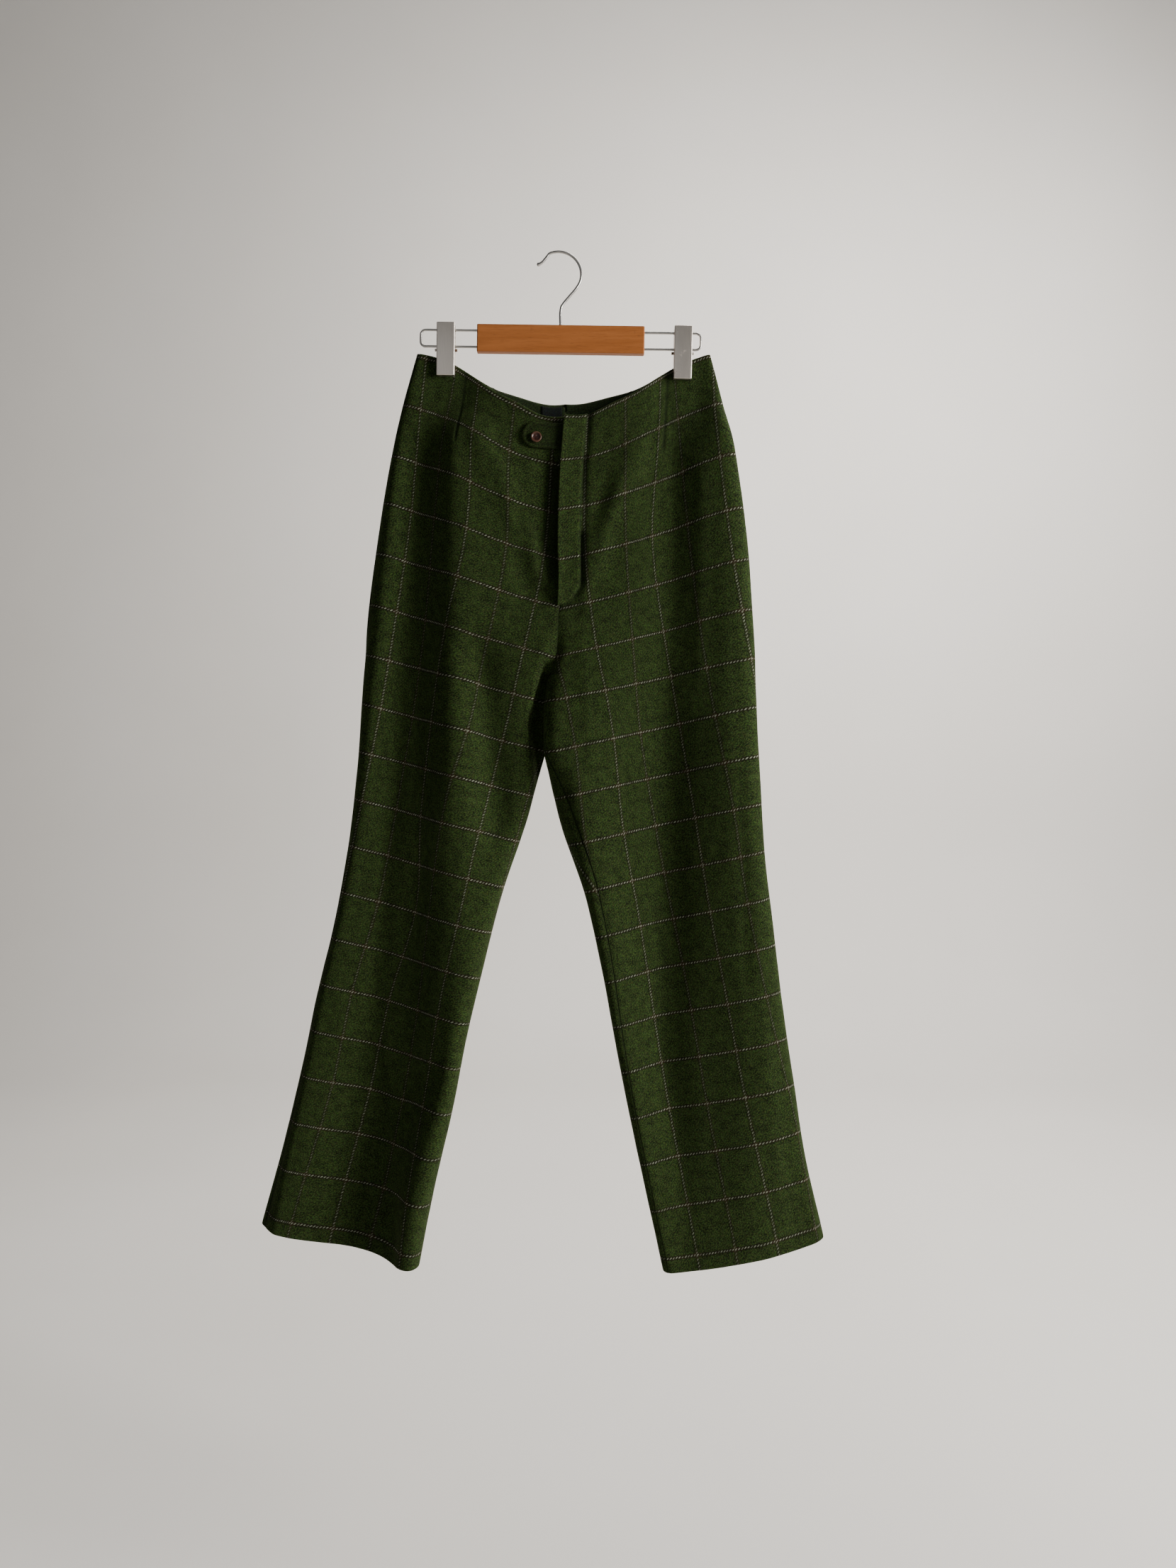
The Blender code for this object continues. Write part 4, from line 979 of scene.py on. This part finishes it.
def make_panel(side, face):
    downs, points, flat, from_start, from_end, fade, is_turned = panel_grid(side, face)
    normals = grid_normals(points, face)
    x, z = points[:, :, 0], points[:, :, 2]
    groove, swell = darts(face, x, z)
    other = "back" if face == "front" else "front"
    creases = [folds(CREASES, on, x, z, CREASE_FADE) for on in (other, face)]
    move = np.where(is_turned, *creases) * fade - groove * DART_DEPTH + swell * DART_SWELL
    move += unevenness(side, face, flat[:, :, 0].ravel(), flat[:, :, 1].ravel()).reshape(x.shape)
    fly_shade = np.zeros_like(x)
    if face == "front":
        move, fly_shade = fly_moves(side, downs, from_end, move)
    from_seam = np.minimum(from_start, from_end)
    seam = np.exp(-((from_seam / ROLL) ** 2))
    move = move * (1 - pinch(x, z)) - ROLL_DEPTH * seam
    outer = points + normals * move[:, :, None]
    if (face, side) == ("front", "right"):
        outer[:, :, 1] += (outer[:, -1:, 1] - outer[:, :, 1]) * SLOT_SUNK * thigh_slot(x, z)
    turned_up = step((flat[:, :, 1] - (flat[-1, 0, 1] - HEM_TURN)) / 0.0015)
    wall = CLOTH * 0.94 + HEM_TURN_WALL * turned_up * step((0.45 - seam) / 0.3)
    # Painted shade at the bottom of the dart grooves and along every seam.
    shade = np.clip(groove * 0.85 + np.exp(-((from_seam / 0.0012) ** 2)) * 0.8, 0, 1)
    shade = np.maximum(shade, fly_shade)
    normals = grid_normals(outer, face)
    return make_wall(f"{face}_{side}_cloth", outer, normals, wall, flat, shade, checked_wool)


for side in EDGE:
    for face in ("front", "back"):
        panel = put_on(make_panel(side, face), f"{face}_{side}")
        print(panel.name, len(panel.data.polygons), "quads,", round(cloth_area(panel), 4), "m2")

# %% [markdown]
# ## The fly
# The fly's strip is the left front's edge folded back on itself and stitched down in the shape of a J.
# Its folded edge stands up from the right front and throws a deep shadow, while along the stitching it is
# pulled flat. It could be drawn on the front as a line, but the shadow needs a real edge. So it is a wall
# of its own, laid on the front, full at the fold and thinning out to nothing at the J.

# %% Fly strip
PANEL_LAY = 0.0006
FLY_CLOTH = 0.0016
FLY_RISE = 0.0042  # how much higher the strip stands at its fold than at its stitching
FLY_GRAIN = 0.034  # how far from the centre the first upright line of the left front lies
FLY_ROWS, FLY_COLUMNS = 150, 30


def make_fly():
    waist_z = edge_at("left", "inner_z", 0)
    shares = crowd(FLY_COLUMNS, ((0.0, 0.05, 3), (1.0, 0.10, 3)))
    line_width, line_drop = fly_outline(400)
    drops = FLY_LENGTH * crowd(FLY_ROWS, ((0.0, 0.004, 5), (1.0, 0.02, 3)))
    widths = np.maximum(np.interp(drops, line_drop, line_width), FLY_WIDTH * 0.10)
    downs = np.interp(waist_z - drops, EDGE["left"]["inner_z"][::-1], EDGE["left"]["down"][::-1])
    inner = -FLY_LAP + (widths[:, None] + FLY_LAP) * shares
    base = []
    for down, from_inner in zip(downs, inner):
        line, distance, length = section("left", "front", down)
        base.append(read(line, distance, length - from_inner))
    base = np.array(base)
    normals = grid_normals(base, "front")
    from_stitch = widths[:, None] - inner
    flatten = step(from_stitch / 0.0045 + 0.12)
    plump = 0.0007 * np.exp(-(((inner + 0.0005) / 0.006) ** 2))
    risen = FLY_RISE * np.clip(from_stitch / FLY_WIDTH, 0, 1)
    lift = 0.0005 + (PANEL_LAY + FLY_CLOTH - 0.0005) * flatten + plump + risen
    places = zip(downs.repeat(FLY_COLUMNS), inner.ravel())
    ripple = np.array([noise.noise(Vector((down * 40, across * 90, 5.0))) for down, across in places])
    outer = base + normals * (lift + ripple.reshape(lift.shape) * 0.0002)[:, :, None]
    wall = np.clip(lift - 0.00025, 0.0003, 0.0026)
    flat = np.stack([inner - FLY_GRAIN, along_cloth("left", downs)[:, None] + 0 * inner], 2)
    # Painted shade along the J stitching of the strip.
    shade = np.exp(-((from_stitch / 0.0016) ** 2)) * 0.8
    return make_wall("fly_placket_cloth", outer, normals, wall, flat, shade, checked_wool)


fly = put_on(make_fly(), "fly_placket")
print("fly strip", round(cloth_area(fly) * 1e4), "cm2")

# %% [markdown]
# ## The tab and its button
# A round-ended tab runs from the fly across the right front. It is two layers of wool turned out through
# an opening, so its edge is plump. A ring of painted shade just inside it stands for the hollow where the
# layers are pressed together, and painted shadow darkens the end next to the fly. A flat plate would float
# off the curved front, so the tab is laid on it point by point. Its points are known by their x and z, and
# one more function looks for the cloth behind such a place.

# %% Finding the cloth at a place
def on_face(side, face, x, z):
    """The points of a face above places x, z, and the directions out of the cloth there."""
    low, high = np.zeros_like(x), np.ones_like(x)
    for _ in range(34):
        down = (low + high) / 2
        outer_x, inner_x = edge_at(side, "outer_x", down), edge_at(side, "inner_x", down)
        share = (x - outer_x) / (inner_x - outer_x)
        higher = surface(side, face, share, down)[..., 2] > z
        low, high = np.where(higher, down, low), np.where(higher, high, down)
    reach = 0.01
    across = surface(side, face, share + reach, down) - surface(side, face, share - reach, down)
    along = surface(side, face, share, down + reach) - surface(side, face, share, np.maximum(down - reach, 0))
    normal = np.cross(across, along)
    normal /= np.linalg.norm(normal, axis=-1)[..., None]
    outward = -1 if face == "front" else 1
    return surface(side, face, share, down), normal * np.sign(normal[..., 1:2] * outward)


_, facing_out = on_face("right", "front", np.array(-0.05), np.array(-0.30))
print("the right front faces", [round(float(v), 2) for v in facing_out])

# %% Tab
TAB_CLOTH, TAB_SLOPE = 0.0024, 0.06
BUTTON_FROM_END, BUTTON_DROP = 0.0160, 0.0035


def tab_place(along, above):
    """Where a place of the tab is, from how far it lies along the tab and above its middle line."""
    z = edge_at("right", "inner_z", 0) - TAB_DROP + TAB_SLOPE * along + above
    return np.interp(z, EDGE["right"]["inner_z"][::-1], EDGE["right"]["inner_x"][::-1]) - FLY_LAP - along, z


def make_tab():
    end_radius = TAB_HEIGHT / 2
    straight = TAB_LENGTH - end_radius
    share = 1 - crowd(44, ((0.0, 0.10, 2), (1.0, 0.03, 2)))[:, None]
    k = 2 * crowd(30, ((0.0, 0.05, 2), (1.0, 0.05, 2)))[None, :] - 1
    along = TAB_LENGTH * np.sin(math.pi / 2 * share) ** 0.8
    bend = np.clip((along - straight) / end_radius, 0, 1)
    above = end_radius * np.maximum(np.sqrt(1 - bend * bend), 0.06) * k
    x, z = tab_place(along, above)
    inset = end_radius - np.hypot(np.maximum(along - straight, 0), above)
    plump = 0.0005 * np.exp(-(((inset - 0.0022) / 0.0016) ** 2))
    points, normals = on_face("right", "front", x - 2 * SEAM_GAP, z)
    outer = points + normals * (PANEL_LAY + TAB_CLOTH + plump)[..., None]
    flat = np.stack([along + 0.007 + 0 * k, above + 0.017], 2)
    # Painted shade: a ring just inside the plump edge, and painted shadow on the end next to the fly.
    tab_painted_shade = 0.35 * np.exp(-(((inset - 0.0046) / 0.0012) ** 2)) + 0.7 * np.exp(-((along / 0.021) ** 2))
    return make_wall("waist_tab_cloth", outer, normals, TAB_CLOTH, flat, tab_painted_shade, plain_wool)


tab = put_on(make_tab(), "waist_tab")
print("tab", round(cloth_area(tab) * 1e4, 1), "cm2")

# %% [markdown]
# The button is small, red-brown and rimmed, with a dished middle and two holes. A real one is turned on a
# lathe, and spin() does the same to a profile here. The holes are pressed into the turned mesh, because
# cutting them through wouldn't show at this size. Its material mixes two browns in streaks, as horn has,
# and paints the rim lighter as a highlight and the dished middle darker as shade.

# %% Button
BUTTON_RADIUS, BUTTON_HEIGHT = 0.0062, 0.0028
BUTTON_PROFILE = (
    (0.0, 0.52), (0.20, 0.54), (0.52, 0.60), (0.62, 0.66), (0.70, 0.86), (0.78, 0.97), (0.86, 1.0),
    (0.94, 0.93), (0.99, 0.76), (1.0, 0.58), (0.97, 0.34), (0.90, 0.15), (0.70, 0.0), (0.0, 0.0),
)
# The rim's lighter browns are a painted highlight, and the dish's darker browns are painted shade.
HIGHLIGHT_RIM_BROWN, HIGHLIGHT_RIM_RED = (0.040, 0.017, 0.010, 1), (0.105, 0.046, 0.027, 1)
SHADED_DISH_BROWN, SHADED_DISH_RED = (0.012, 0.004, 0.003, 1), (0.050, 0.016, 0.010, 1)


def make_horn():
    material, nodes, shader = new_material(
        "button", Coat_Weight=0.05, Coat_Roughness=0.30, Specular_IOR_Level=0.3,
    )
    where = nodes.here()
    streak = nodes.noise(where, 420.0, 3.0, Distortion=1.2)
    out = nodes.add("SeparateXYZ", Vector=where).outputs
    squares = nodes.plus(nodes.times(out[0], out[0]), nodes.times(out[1], out[1]))
    # The middle gets the darker browns as painted shade, and the rim gets the lighter ones as a painted
    # highlight.
    dish = nodes.fade(nodes.math("POWER", squares, 0.5), BUTTON_RADIUS * 0.62, BUTTON_RADIUS * 0.78)
    colour = nodes.mix(dish, nodes.mix(streak, HIGHLIGHT_RIM_BROWN, HIGHLIGHT_RIM_RED), nodes.mix(streak, SHADED_DISH_BROWN, SHADED_DISH_RED))
    nodes.send(shader, Base_Color=colour, Roughness=nodes.scaled(streak, 0.2, 0.25))
    return material


def make_button():
    radius, height = BUTTON_RADIUS, BUTTON_HEIGHT
    mesh = bpy.data.meshes.new("tab_button_horn")
    made = bmesh.new()
    points = [made.verts.new((radius * r, 0, height * h)) for r, h in BUTTON_PROFILE]
    edges = [made.edges.new(pair) for pair in zip(points, points[1:])]
    bmesh.ops.spin(made, geom=points + edges, cent=(0, 0, 0), axis=(0, 0, 1), angle=2 * math.pi,
                   steps=56, use_merge=True)
    bmesh.ops.remove_doubles(made, verts=made.verts, dist=1e-6)
    for angle in (45, 225):
        at = Vector((math.cos(math.radians(angle)), math.sin(math.radians(angle)), 0)) * radius * 0.26
        for vert in made.verts:
            flat_distance = (Vector((vert.co.x, vert.co.y, 0)) - at).length
            if vert.co.z > height * 0.4 and flat_distance < radius * 0.16:
                vert.co.z -= height * 0.28
    bmesh.ops.recalc_face_normals(made, faces=made.faces)
    made.to_mesh(mesh)
    made.free()
    mesh.shade_smooth()
    button = in_scene("tab_button_horn", mesh, make_horn())
    x, z = tab_place(TAB_LENGTH - BUTTON_FROM_END, -BUTTON_DROP)
    seat, normal = on_face("right", "front", np.array(x), np.array(z))
    button.rotation_mode = "QUATERNION"
    button.rotation_quaternion = Vector(normal).to_track_quat("Z", "Y")
    button.location = seat + normal * (PANEL_LAY * 2 + TAB_CLOTH)
    return button


button = put_on(make_button(), "tab_button")
print("button", round(BUTTON_RADIUS * 2 * MM, 1), "mm across")

# %% [markdown]
# ## Inside the back waist
# The waist has no band. A strip of dark facing cloth finishes the inside, with a bare woven patch beside
# the centre seam. Both show over the front's edge. They could be flat strips, but the back is curved and
# wavy there, so both are laid on the back panels' inner side, as the tab is on the front.

# %% Facing and patch
FACING_DEPTH, FACING_CLOTH, FACING_FROM = 0.032, 0.0009, 0.46
PATCH_WIDTH, PATCH_HEIGHT, PATCH_CLOTH = 0.024, 0.013, 0.0005
PATCH_FROM_SEAM, PATCH_DROP = 0.004, 0.003


def back_strip(name, lift, thickness, drops, shares, material):
    """A strip inside the back waist. Its outer side here is the one that faces the front."""
    points, normals, xs = [], [], []
    drop = drops[:, None]
    for side, share in shares.items():
        top_z = surface(side, "back", share[None, :], np.zeros((1, len(share))))[..., 2]
        outer_x, inner_x = edge_at(side, "outer_x", 0), edge_at(side, "inner_x", 0)
        x = outer_x + (inner_x - outer_x) * share[None, :] + 0 * drop
        point, normal = on_face(side, "back", x, top_z - 0.0006 - drop)
        points.append(point - normal * (CLOTH + lift + thickness))
        normals.append(-normal)
        xs.append(x)
    points, normals, xs = (np.concatenate(parts, 1) for parts in (points, normals, xs))
    flat = np.stack([xs, drop + 0 * xs], 2)
    shade = np.exp(-(((edge_distance(points) - 0.0016) / 0.0005) ** 2)) * 0.5
    return make_wall(name, points, normals, thickness, flat, shade, material)


def make_facing():
    to_centre = np.linspace(FACING_FROM, 0.998, 34)
    shares = {"right": to_centre, "left": to_centre[::-1]}
    drops = np.linspace(0.0004, FACING_DEPTH, 16)
    return back_strip("back_waist_facing_cloth", PANEL_LAY, FACING_CLOTH, drops, shares, facing_cloth)


def make_patch():
    width = edge_at("right", "inner_x", 0) - edge_at("right", "outer_x", 0)
    last = 1 - PATCH_FROM_SEAM / width
    shares = {"right": np.linspace(last - PATCH_WIDTH / width, last, 22)}
    drops = np.linspace(PATCH_DROP, PATCH_DROP + PATCH_HEIGHT, 12)
    lift = PANEL_LAY + FACING_CLOTH + 0.0003
    return back_strip("inside_patch_cloth", lift, PATCH_CLOTH, drops, shares, patch_cloth)


facing = put_on(make_facing(), "back_waist_facing")
patch = put_on(make_patch(), "inside_patch")
print("facing", round(cloth_area(facing) * 1e4), "cm2, patch", round(cloth_area(patch) * 1e4, 1), "cm2")

# %% [markdown]
# ## Hanger finishes
# The hanger has varnished wood with its grain along the bar, brushed steel on the clips, bright wire, and
# steel pins that have rusted. Dull brown patches of rust and dirt gather where the metal parts rub. They
# could be painted by hand, but noise makes them all round a part at once, so one group makes them and
# each finish takes its own amount.

# %% Group: grime and rust
def make_grime():
    nodes, given, out = new_group(
        "grime",
        {"Place": "Vector", "Size": "Float", "Amount": "Float"},
        {"Mask": "Float", "Speckle": "Float"},
    )
    big = nodes.noise(given["Place"], given["Size"], 5.0, Roughness=0.65)
    fine = nodes.noise(given["Place"], nodes.times(given["Size"], 6.0), 3.0)
    edge = nodes.math("SUBTRACT", 0.86, nodes.times(given["Amount"], 0.5))
    over = nodes.math("SUBTRACT", nodes.scaled(fine, 0.25, big), edge)
    nodes.send(out, Mask=nodes.math("MULTIPLY", over, 9.0, clamp=True), Speckle=fine)
    return nodes.tree


grime = make_grime()
print("group:", grime.name)

# %% Metals
WIRE_COLOURS = (0.38, 0.37, 0.35, 1), (0.53, 0.515, 0.49, 1)
CLIP_COLOURS = (0.60, 0.55, 0.49, 1), (0.80, 0.74, 0.67, 1)
PIN_COLOURS = (0.42, 0.38, 0.33, 1), (0.60, 0.55, 0.49, 1)
RUST_COLOURS = (0.055, 0.024, 0.012, 1), (0.22, 0.125, 0.070, 1)
DIRT = (0.075, 0.035, 0.018, 1)
DRAWN, BRUSHED = (300, 300, 300), (1600, 900, 60)  # the scratches in a metre along each axis
PIN_HALF = 0.006


def make_metal(name, colours, roughness, amount, scratches):
    """A metal with fine scratches along one axis, and grime."""
    material, nodes, shader = new_material(name)
    where = nodes.here()
    stretched = nodes.add("Mapping", Vector=where, Scale=scratches).outputs[0]
    scratch = nodes.noise(stretched, 1.0, 5.0, Roughness=0.7)
    spots = nodes.use(grime, Place=where, Size=70.0, Amount=amount)["Mask"]
    nodes.send(
        shader,
        Base_Color=nodes.mix(nodes.times(spots, 0.8), nodes.mix(scratch, *colours), DIRT),
        Roughness=nodes.scaled(spots, 0.35, nodes.scaled(scratch, 0.16, roughness - 0.08), clamp=True),
        Metallic=nodes.math("SUBTRACT", 1.0, nodes.times(spots, 0.7), clamp=True),
        Normal=nodes.add("Bump", Height=scratch, Strength=0.12, Distance=0.0002).outputs[0],
    )
    return material


def make_pin_metal(side):
    """Steel, rusted brown on the side of the bar, where the pin rubs on the wires."""
    material, nodes, shader = new_material(f"{side} pin", Metallic=0.5)
    where = nodes.here()
    from_middle = nodes.math("ABSOLUTE", nodes.add("SeparateXYZ", Vector=where).outputs["X"])
    clip_at = abs(CLIPS[side][0])
    inward = nodes.fade(from_middle, clip_at - PIN_HALF, clip_at + PIN_HALF)
    speckle = nodes.use(grime, Place=where, Size=300.0, Amount=0.9)["Speckle"]
    colour = nodes.mix(inward, nodes.mix(speckle, *PIN_COLOURS), nodes.mix(speckle, *RUST_COLOURS))
    nodes.send(shader, Base_Color=colour, Roughness=nodes.scaled(inward, 0.32, 0.42))
    return material


wire_metal = make_metal("bright wire", WIRE_COLOURS, 0.30, 0.10, DRAWN)
clip_steel = make_metal("brushed clip steel", CLIP_COLOURS, 0.40, 0.20, BRUSHED)
rubbed_steel = make_metal("rubbed clip steel", CLIP_COLOURS, 0.40, 0.30, BRUSHED)
pin_metal = {side: make_pin_metal(side) for side in CLIPS}
print("metals:", wire_metal.name, "-", clip_steel.name, "-", rubbed_steel.name)

# %% Varnished wood
DARK_GRAIN, LIGHT_GRAIN = (0.290, 0.094, 0.020, 1), (0.355, 0.121, 0.030, 1)
PORE_BROWN, WOOD_DIRT = (0.120, 0.036, 0.009, 1), (0.10, 0.045, 0.02, 1)


def make_wood():
    material, nodes, shader = new_material(
        "hanger wood", Coat_Weight=0.05, Coat_Roughness=0.35, Specular_IOR_Level=0.25,
    )
    where = nodes.here()
    grain_place = nodes.add("Mapping", Vector=where, Scale=(9, 140, 190)).outputs[0]
    pore_place = nodes.add("Mapping", Vector=where, Scale=(90, 1400, 1900)).outputs[0]
    grain = nodes.noise(grain_place, 1.0, 6.0, Roughness=0.62, Distortion=0.6)
    pores = nodes.noise(pore_place, 1.0, 3.0)
    colour = nodes.mix(nodes.fade(grain, 0.66, 0.34), DARK_GRAIN, LIGHT_GRAIN)
    colour = nodes.mix(nodes.times(nodes.fade(pores, 0.34, 0.44), 0.3), colour, PORE_BROWN)
    spots = nodes.use(grime, Place=where, Size=45.0, Amount=0.16)["Mask"]
    colour = nodes.mix(nodes.times(spots, 0.4), colour, WOOD_DIRT)
    relief = nodes.plus(grain, pores)
    bump = nodes.add("Bump", Height=relief, Strength=0.18, Distance=0.0003).outputs[0]
    nodes.send(shader, Base_Color=colour, Roughness=nodes.scaled(grain, 0.22, 0.34), Normal=bump)
    return material


wood = make_wood()
print("wood:", wood.name)

# %% [markdown]
# ## The hanger's parts
# The solids of the bar, the sliders and the pins already have their true shape, so they keep it and take
# the finishes. The hook, the wire loop and the bent jaws are round or bent metal, which a coarse solid
# shows as flats, so they are made again as smooth curves and finely bevelled sheet in the same place.

# %% Round wires
HANGER_TILT = math.radians(0.8)
HANGER_X, HANGER_Z = 0.0025, -0.1004
WIRE_RADIUS, HOOK_RADIUS, HOOK_ARC = 0.0014, 0.0016, 0.0262
BAR_LENGTH, BAR_HEIGHT = 0.1935, 0.032
LOOP_LENGTH, LOOP_HEIGHT, LOOP_CORNER = 0.3265, 0.0190, 0.0055
SOCKET_DEPTH, WIRE_CLEARANCE, LAY = 0.014, 0.0003, 0.0003


def make_tube(name, points, radii, node):
    """A wire along a line of points, with its own radius at each, and closed ends."""
    curve = bpy.data.curves.new(name, "CURVE")
    curve.dimensions = "3D"
    curve.bevel_depth = 1.0
    curve.bevel_resolution = 6
    curve.use_fill_caps = True
    line = curve.splines.new("POLY")
    line.points.add(len(points) - 1)
    for point, at, radius in zip(line.points, points, radii):
        point.co = (*at, 1)
        point.radius = radius
    return put_on(in_scene(name, curve, wire_metal), node)


print("the loop's wire is", WIRE_RADIUS * 2 * MM, "mm thick, the hook's", HOOK_RADIUS * 2 * MM)


# %% Hook and loop
def arc(centre, radius, start, end, steps):
    angles = np.radians(np.linspace(start, end, steps))
    return [(centre[0] + radius * math.cos(a), 0, centre[1] + radius * math.sin(a)) for a in angles]


def smooth_line(points, count):
    """A smooth curve through points, as many more points."""
    points = np.array(points, float)
    at = lengths(points)
    places = np.linspace(0, at[-1], count)
    return [tuple(smooth_between(at, points[:, k], place) for k in range(3)) for place in places]


def tilted(point):
    x, y, z = point
    cos, sin = math.cos(HANGER_TILT), math.sin(HANGER_TILT)
    return (HANGER_X + x * cos + z * sin, y, HANGER_Z - x * sin + z * cos)


def make_hook():
    bar_top = HANGER_Z + BAR_HEIGHT / 2 + LAY
    tip = ((-25.2, -13.5), (-22.2, -12.7), (-19.0, -10.6), (-16.4, -7.8), (-13.9, -4.8))
    neck = ((20.5, -40.5), (12.5, -50.0), (5.5, -58.5), (3.2, -62.2), (2.4, -66.2), (2.2, bar_top * MM))
    bow = arc((0, HOOK_RADIUS - HOOK_ARC), HOOK_ARC, 113, -18, 20)
    tip, neck = ([(x / MM, 0, z / MM) for x, z in part] for part in (tip, neck))
    line = smooth_line(tip + bow + neck, 160)
    far = lengths(np.array(line))
    swell = 1 + 0.4 * np.exp(-(((far - 0.0016) / 0.0018) ** 2))
    end_round = np.sqrt(np.clip(1 - (1 - np.clip(far / 0.0012, 0, 1)) ** 2, 0.05, 1))
    return make_tube("hanger_hook_wire", line, HOOK_RADIUS * swell * end_round, "hanger_hook")


def make_loop_end(side):
    outward = -1 if side == "right" else 1
    start = BAR_LENGTH / 2 - SOCKET_DEPTH + WIRE_CLEARANCE
    half = LOOP_HEIGHT / 2
    corner = LOOP_LENGTH / 2 - WIRE_RADIUS - LOOP_CORNER
    line = [(start + (corner - start) * k / 12, 0, half) for k in range(12)]
    line += arc((corner, half - LOOP_CORNER), LOOP_CORNER, 90, 0, 14)
    line += arc((corner, LOOP_CORNER - half), LOOP_CORNER, 0, -90, 14)
    line += [(corner + (start - corner) * k / 12, 0, -half) for k in range(1, 13)]
    points = [tilted((outward * x, y, z)) for x, y, z in line]
    return make_tube(f"hanger_loop_{side}_wire", points, [WIRE_RADIUS] * len(points), f"hanger_wire_{side}")


wires = [make_hook()] + [make_loop_end(side) for side in CLIPS]
print("wires:", ", ".join(wire.name for wire in wires))

# %% [markdown]
# A clip's jaw is a strip of steel bent into a shallow tray. It could be drawn corner by corner, but a box
# with its open side taken off has that shape already: one bevel bends its corners, Solidify gives it the
# thickness of the sheet, and a small second bevel rolls the cut rim.

# %% Clip jaws of bent sheet
CLIP_WIDTH, CLIP_SHEET, CLIP_DEPTH, CLIP_SEAT = 0.0208, 0.0009, 0.0052, 0.0026
BEND_RADIUS, RIM_RADIUS = 0.0011, 0.00018


def make_jaw(side, face):
    """A shallow tray of bent sheet, open towards the cloth."""
    x, z, tilt = CLIPS[side]
    outward = -1 if face == "front" else 1
    mesh = bpy.data.meshes.new(f"clip_{side}_{face}_plate")
    made = bmesh.new()
    bmesh.ops.create_cube(made, size=1)
    bmesh.ops.scale(made, vec=(CLIP_WIDTH, CLIP_DEPTH, CLIP_HEIGHT), verts=made.verts)
    made.normal_update()
    bmesh.ops.delete(made, geom=[f for f in made.faces if f.normal.y * outward < -0.5], context="FACES")
    made.to_mesh(mesh)
    made.free()
    mesh.shade_smooth()
    jaw = in_scene(mesh.name, mesh, rubbed_steel if (side, face) == ("left", "front") else clip_steel)
    jaw.location = (x, outward * (CLIP_SEAT + CLIP_DEPTH / 2), z)
    jaw.rotation_euler = (0, tilt, 0)
    bevel = jaw.modifiers.new("bent corners", "BEVEL")
    bevel.width = BEND_RADIUS
    bevel.segments = 5
    wall = jaw.modifiers.new("sheet", "SOLIDIFY")
    wall.thickness = CLIP_SHEET
    wall.offset = -1
    wall.use_even_offset = True
    rim = jaw.modifiers.new("rolled rim", "BEVEL")
    rim.width = RIM_RADIUS
    rim.segments = 2
    rim.limit_method = "ANGLE"
    return put_on(jaw, f"clip_{side}_{face}")


jaws = [make_jaw(side, face) for side in CLIPS for face in ("front", "back")]
print("jaws:", ", ".join(jaw.name for jaw in jaws))

# %% Finishes on the solids that stay
STAYING = {"hanger_bar": wood}
for side in CLIPS:
    STAYING[f"clip_{side}_slider"] = clip_steel
    STAYING[f"clip_{side}_pin"] = pin_metal[side]
for node, material in STAYING.items():
    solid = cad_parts[node]
    solid.data.materials.clear()
    solid.data.materials.append(material)
print("finished solids:", ", ".join(STAYING))

# %% [markdown]
